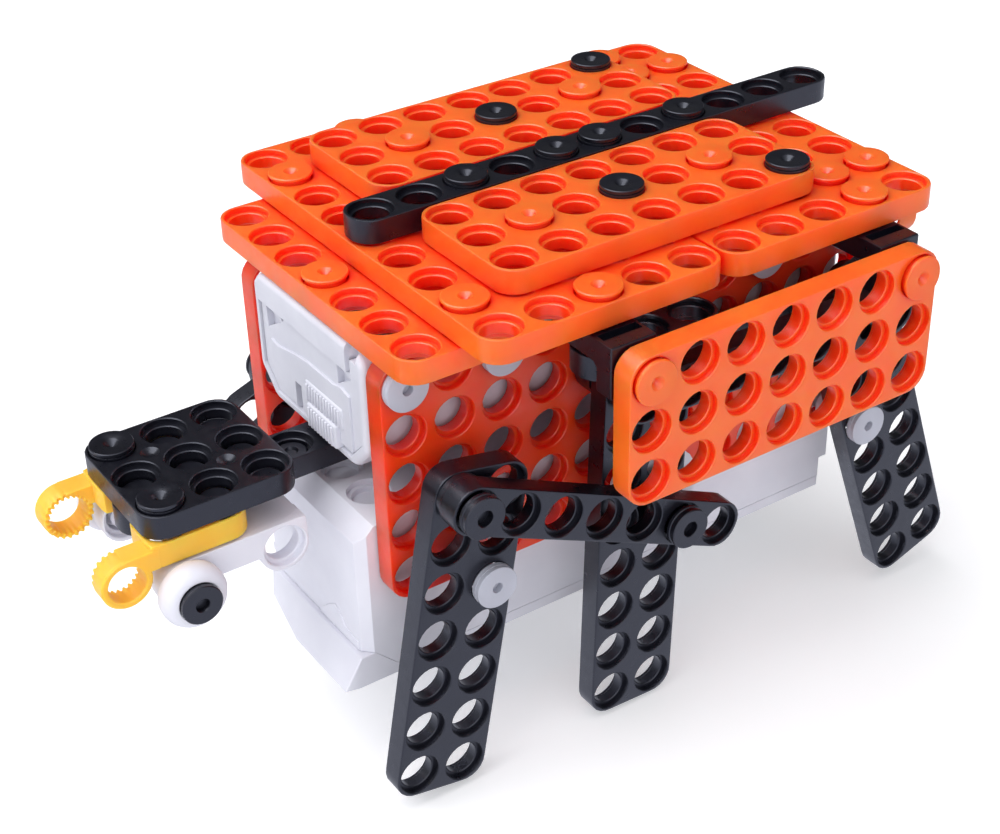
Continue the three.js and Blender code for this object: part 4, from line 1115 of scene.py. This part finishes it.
HEAD_FIRST_ROW = -9.5 * PITCH
NECK_TOP = CASE_BOTTOM - SEAT_GAP
NECK_BOTTOM = NECK_TOP - SHEET
HEAD_TOP = NECK_TOP + SEAT_GAP + SHEET
CLIP_INNER = 6
CLIP_OUTER = 8.85
CLIP_RING_PLACE = -62.8
CLIP_RING_HEIGHT = -25.1
CLIP_RING_RADIUS = EDGE
CLIP_RING_BORE = 2.1
CLIP_WIDTH = CLIP_OUTER - CLIP_INNER
CLIP_TEETH = 22
CLIP_ARC_STEPS = 8
CLIP_FRONT_CORNER = 0.6
CLIP_ROUNDING = 0.15
FORK_TOP = NECK_BOTTOM - SEAT_GAP
FORK_DROP = PITCH
FORK_FRONT = -59.4
FORK_REAR = -42.15
FORK_HALF_WIDTH = 8.85
FORK_ARM = 2.85
FORK_AXLE_HEIGHT = FORK_TOP - FORK_DROP / 2
FORK_REAR_HOLE = -45
FORK_WAIST = 0.35  # how far an arm's lower edge lies below its holes
FORK_REAR_CORNER = 0.5
ROLLER_PLACE = -56.7
WEB_THICKNESS = 1.45
WEB_SET_BACK = 0.25
WEB_ROUNDING = 0.2
WEB_BORE = 3
ARC_STEPS = 6

# Profiles of radius and height, the heights from the top face that they sit in
DIMPLE = [(1.05, 0.1), (1.05, -0.02), (0.5, -0.4), (0.2, -0.45)]
HEAD_PEG = [
    (0, -1.9), (STEM_RADIUS - 0.2, -1.9), (STEM_RADIUS, -2.1), (STEM_RADIUS, -2.75), (0, -2.75),
]
NECK_PEG = [
    (0, -1.35), (0.6, -1.3), (0.8, -1), (STEM_RADIUS - 0.25, -1), (STEM_RADIUS, -1.25),
    (STEM_RADIUS, -2.75), (0, -2.75),
]


def head_plates():
    """The neck beam and head plate, and the black pegs that fill their holes."""
    fine("neck_beam", plate(1, 7).moved(flat(0, HEAD_FIRST_ROW, NECK_BOTTOM)), BLACK)
    head = mesh_of(plate(3, 3).moved(flat(-PITCH, HEAD_FIRST_ROW, NECK_TOP + SEAT_GAP)), "head")
    places = [(-PITCH / 2, HEAD_FIRST_ROW + PITCH / 2), (PITCH / 2, HEAD_FIRST_ROW + 3 * PITCH / 2)]
    dimple = turned(DIMPLE)
    fine("head_plate", carved(head, [dimple.moved(flat(x, y, HEAD_TOP)) for x, y in places]), BLACK)
    for name, side in SIDES.items():
        rivet(f"head_rivet_{name}", TALL_RIVET, BLACK, flat(side * PITCH, HEAD_FIRST_ROW, HEAD_TOP))
    for column in (-1, 0, 1):
        for row in range(3):
            if column and not row:
                continue
            place = flat(column * PITCH, HEAD_FIRST_ROW + row * PITCH, HEAD_TOP)
            rivet(f"head_peg_{column + 2}_{row + 1}", HEAD_PEG, BLACK, place)
    rivet("neck_peg", NECK_PEG, BLACK, flat(0, HEAD_FIRST_ROW + 3 * PITCH, NECK_TOP))


def serrated_ring():
    """The ring of a clip, its axis along Z, with radial teeth round its inner face at zero."""
    steps = CLIP_TEETH * 4
    width = CLIP_WIDTH
    shape = Shape()

    def loop(radius, z, bite=0, dip=0):
        points = []
        for step in range(steps):
            angle = math.tau * step / steps
            in_groove = step % 4 > 1
            reach = radius + (bite if in_groove else 0)
            height = z + (dip if in_groove else 0)
            points.append((reach * math.cos(angle), reach * math.sin(angle), height))
        return shape.ring(points)

    outer, bore = CLIP_RING_RADIUS, CLIP_RING_BORE
    loops = [
        loop(bore, width - 0.15), loop(bore + 0.15, width), loop(outer - 0.2, width),
        loop(outer, width - 0.2), loop(outer, 1.3), loop(outer, 0.5, -0.1), loop(outer - 0.1, 0, -0.06, 0.3),
        loop(bore + 0.1, 0, 0.1, 0.3), loop(bore, 0.5, 0.16), loop(bore, 1.3),
    ]
    for one, two in zip(loops, loops[1:] + loops[:1]):
        shape.bridge(one, two)
    return shape


def clip_arm(side):
    """The arm from a clip's foot to the top of its ring, hollowed to leave the ring open."""
    inside = (CLIP_RING_RADIUS + CLIP_RING_BORE) / 2
    top = CLIP_RING_HEIGHT + CLIP_RING_RADIUS
    rear = HEAD_FIRST_ROW - HOLE_RADIUS
    start = math.asin((NECK_BOTTOM - CLIP_RING_HEIGHT) / inside)
    sweep = start - math.pi / 2
    outline = [(CLIP_RING_PLACE, top)]
    outline += arc(CLIP_RING_PLACE, CLIP_RING_HEIGHT, inside, math.pi / 2, sweep, CLIP_ARC_STEPS)
    outline += [(rear, NECK_BOTTOM), (rear, top)]
    return prism(outline, CLIP_WIDTH).moved(upright(side, CLIP_INNER, 0, 0))


def head_clips():
    """Yellow clips with a flat two-hole foot and an upright toothed ring in front."""
    cells = grid_cells(1, 2)
    cells[0]["corner"] = {"north": CORNER_RADIUS, "south": CLIP_FRONT_CORNER}
    for name, side in SIDES.items():
        foot = mesh_of(celled_plate(cells).moved(flat(side * PITCH, HEAD_FIRST_ROW, NECK_BOTTOM)), "foot")
        arm = rounded(clip_arm(side), CLIP_ROUNDING)
        place = upright(side, CLIP_INNER, CLIP_RING_PLACE, CLIP_RING_HEIGHT)
        ring = mesh_of(serrated_ring().moved(place), "ring")
        fine(f"head_clip_{name}", carved(foot, [arm, ring], "UNION"), YELLOW)


def fork_notch():
    """What is cut off below an arm between its two round ends."""
    half = FORK_DROP / 2
    low = -half - OVERRUN
    start = math.asin(FORK_WAIST / half)
    sweep = math.pi / 2 - start
    outline = arc(FORK_REAR_HOLE, 0, -half, start, sweep, ARC_STEPS)
    outline += [(FORK_REAR_HOLE, low), (ROLLER_PLACE, low)]
    return outline + arc(ROLLER_PLACE, 0, half, -math.pi / 2, sweep, ARC_STEPS)


def roller_fork():
    """The white fork under the head, a web with two arms that carry the rollers."""
    middle = (FORK_REAR_HOLE + ROLLER_PLACE) / 2
    half = FORK_DROP / 2
    cells = [
        cell(
            ROLLER_PLACE, 0, ROLLER_PLACE - FORK_FRONT, middle - ROLLER_PLACE, half, half,
            {"west", "south", "north"},
        ),
        cell(
            FORK_REAR_HOLE, 0, FORK_REAR_HOLE - middle, FORK_REAR - FORK_REAR_HOLE, half, half,
            {"east", "south", "north"},
        ),
    ]
    cells[1]["corner"]["north"] = FORK_REAR_CORNER
    notch = prism(fork_notch(), FORK_ARM + 2 * OVERRUN).moved(flat(0, 0, -OVERRUN))
    arms = []
    for side in SIDES.values():
        place = upright(side, FORK_HALF_WIDTH - FORK_ARM, 0, FORK_AXLE_HEIGHT)
        arm = mesh_of(celled_plate(cells, FORK_ARM).moved(place), "arm")
        arms.append(carved(arm, [notch.moved(place)]))
    web_half = FORK_HALF_WIDTH - FORK_ARM / 2
    start, end = FORK_FRONT + CORNER_RADIUS, FORK_REAR - WEB_SET_BACK
    web = rounded(box(-web_half, web_half, start, end, FORK_TOP - WEB_THICKNESS, FORK_TOP), WEB_ROUNDING)
    holes = [drilled(0, HEAD_FIRST_ROW + row * PITCH, FORK_TOP, DOWN, WEB_BORE) for row in (1, 2)]
    fine("roller_fork", carved(carved(web, arms, "UNION"), holes), WHITE)


ROLLER = [
    (1.5, -2.55), (1.5, 0), (2.9, 0), (3.4, 0.2), (3.64, 0.65), (3.7, 1.3), (3.62, 1.95),
    (3.35, 2.5), (2.9, 2.85), (2.4, 3.0), (2.3, 2.95), (2.3, 2.6), (0, 2.6),
]
ROLLER_PEG = [
    (0, 3.05), (0.7, 3.05), (0.76, 3.66), (0.84, 3.74), (2.2, 3.74), (2.3, 3.64), (2.3, 3.2),
    (2.22, 3.1), (2.22, 2.5), (0, 2.5),
]


def rollers():
    for name, side in SIDES.items():
        place = upright(side, FORK_HALF_WIDTH + SEAT_GAP, ROLLER_PLACE, FORK_AXLE_HEIGHT)
        body = f"roller_{name}"
        fine(body, turned(ROLLER).moved(place), WHITE, body)
        rivet(f"roller_peg_{name}", ROLLER_PEG, BLACK, place, body)


def inner_pieces():
    """The drive and the cells keep their solids and get their materials."""
    finishes = {
        "battery_bridge_contact": BRASS, "battery_cell_left": JACKET, "battery_cell_right": JACKET,
        "battery_spring_contact": STEEL, "crank_left": WHITE, "crank_right": WHITE, "motor": STEEL,
        "output_gear": WHITE, "worm": BLACK,
    }
    for node, material in finishes.items():
        slots = frame["nodes"][node].data.materials
        for index in range(len(slots)):
            slots[index] = material


# Floor, lights and camera

FLOOR_SIZE = 1.6
FLOOR_COLOUR = (0.86, 0.86, 0.87, 1)
FLOOR_LIFT = 0.3
MIRRORED_COLOUR = (0.84, 0.87, 1, 1)  # the floor as glossy surfaces see it
PURE_WHITE = (1, 1, 1, 1)
SOFT_COLOUR = (0.93, 0.95, 1, 1)
SOFT_SIDE = (0.62, -0.68, 0.1)  # where most of the soft light comes from
SOFT_STRENGTHS = (0.1, 0.9)  # away from that side and towards it
SOFT_EDGES = (-0.5, 0.6)
LAMPS = {"key": ((-0.3, -0.6, 1.3), 2.22, 60), "fill": ((0.9, -0.35, 0.6), 0.7, 90)}


def shone(nodes, kind, colour, strength):
    """The light of an emission or background node."""
    return filled(nodes.add(kind), {"Color": colour, "Strength": strength}).outputs[0]


def chosen(nodes, factor, one, two):
    """Mixes two shaders."""
    node = nodes.add("ShaderNodeMixShader")
    for index, source in enumerate((factor, one, two)):
        nodes.link(source, node.inputs[index])
    return node.outputs[0]


def floor():
    shape = Shape()
    half = FLOOR_SIZE / MM
    shape.cap(shape.ring([(-half, -half, 0), (half, -half, 0), (half, half, 0), (-half, half, 0)]))
    data = mesh_of(shape, "floor")
    data.transform(Matrix.Scale(MM, 4))
    ground = linked("floor", data)
    material = bpy.data.materials.new("floor")
    material.use_nodes = True
    nodes = Nodes(material.node_tree)
    diffuse = nodes.add("ShaderNodeBsdfDiffuse")
    diffuse.inputs["Color"].default_value = FLOOR_COLOUR
    both = nodes.add("ShaderNodeAddShader")
    nodes.link(diffuse.outputs[0], both.inputs[0])
    nodes.link(shone(nodes, "ShaderNodeEmission", PURE_WHITE, FLOOR_LIFT), both.inputs[1])
    path = nodes.add("ShaderNodeLightPath")
    seen = chosen(nodes, path.outputs["Is Camera Ray"], diffuse.outputs[0], both.outputs[0])
    mirrored = shone(nodes, "ShaderNodeEmission", MIRRORED_COLOUR, 1)
    output = nodes.add("ShaderNodeOutputMaterial")
    nodes.link(chosen(nodes, path.outputs["Is Glossy Ray"], seen, mirrored), output.inputs["Surface"])
    data.materials.append(material)


def world():
    """Soft light that comes mostly from the front right, as from a large softbox."""
    scene_world = bpy.data.worlds.new("studio")
    bpy.context.scene.world = scene_world
    scene_world.use_nodes = True
    nodes = Nodes(scene_world.node_tree)
    towards = nodes.add("ShaderNodeVectorMath", operation="DOT_PRODUCT")
    towards.inputs[1].default_value = SOFT_SIDE
    nodes.link(nodes.add("ShaderNodeTexCoord").outputs["Generated"], towards.inputs[0])
    soft = nodes.add("ShaderNodeBackground")
    soft.inputs["Color"].default_value = SOFT_COLOUR
    strength = ranged(nodes, towards.outputs["Value"], *SOFT_STRENGTHS, *SOFT_EDGES)
    nodes.link(strength, soft.inputs["Strength"])
    seen = shone(nodes, "ShaderNodeBackground", PURE_WHITE, 1)
    camera_ray = nodes.add("ShaderNodeLightPath").outputs["Is Camera Ray"]
    output = nodes.add("ShaderNodeOutputWorld")
    nodes.link(chosen(nodes, camera_ray, soft.outputs[0], seen), output.inputs["Surface"])


def lamp(name, direction_from, strength, angle):
    light = bpy.data.lights.new(name, "SUN")
    light.energy = strength
    light.angle = math.radians(angle)
    holder = linked(name, light)
    holder.rotation_euler = Vector(direction_from).to_track_quat("Z", "Y").to_euler()


CAMERA_AZIMUTH = math.radians(56.826)
CAMERA_ELEVATION = math.radians(32.687)
CAMERA_ROLL = math.radians(-1.648)
CAMERA_DISTANCE = 34.826 * PITCH
CAMERA_RIGHT = -1.4705 * PITCH
CAMERA_UP = -4.6585 * PITCH
CAMERA_LENS = 66.66
SENSOR_WIDTH = 36


def camera():
    azimuth, elevation = CAMERA_AZIMUTH, CAMERA_ELEVATION
    flat_share = math.cos(elevation)
    back = Vector((
        math.sin(azimuth) * flat_share, -math.cos(azimuth) * flat_share, math.sin(elevation),
    ))
    level = Vector((math.cos(azimuth), math.sin(azimuth), 0))
    rise = back.cross(level)
    c, s = math.cos(CAMERA_ROLL), math.sin(CAMERA_ROLL)
    right = level * c + rise * s
    up = rise * c - level * s
    place = back * CAMERA_DISTANCE + right * CAMERA_RIGHT + up * CAMERA_UP
    view = bpy.data.cameras.new("camera")
    view.lens = CAMERA_LENS
    view.sensor_width = SENSOR_WIDTH
    view.sensor_fit = "HORIZONTAL"
    view.clip_start = 1 * MM
    holder = linked("camera", view)
    turn = Matrix((right, up, back)).transposed().to_4x4()
    holder.matrix_world = Matrix.Translation(ORIGIN + place * MM) @ turn
    bpy.context.scene.camera = holder


camera()
floor()
world()
for lamp_name, values in LAMPS.items():
    lamp(lamp_name, *values)
bpy.context.scene.view_settings.view_transform = "Standard"

deck_plates()
side_plates()
side_panels()
deck_rivets()
side_rivets()
brackets()
for side_name in SIDES:
    walking_side(side_name)
battery_case()
battery_door()
gearbox_shell()
gearbox_tray()
head_plates()
head_clips()
roller_fork()
rollers()
inner_pieces()
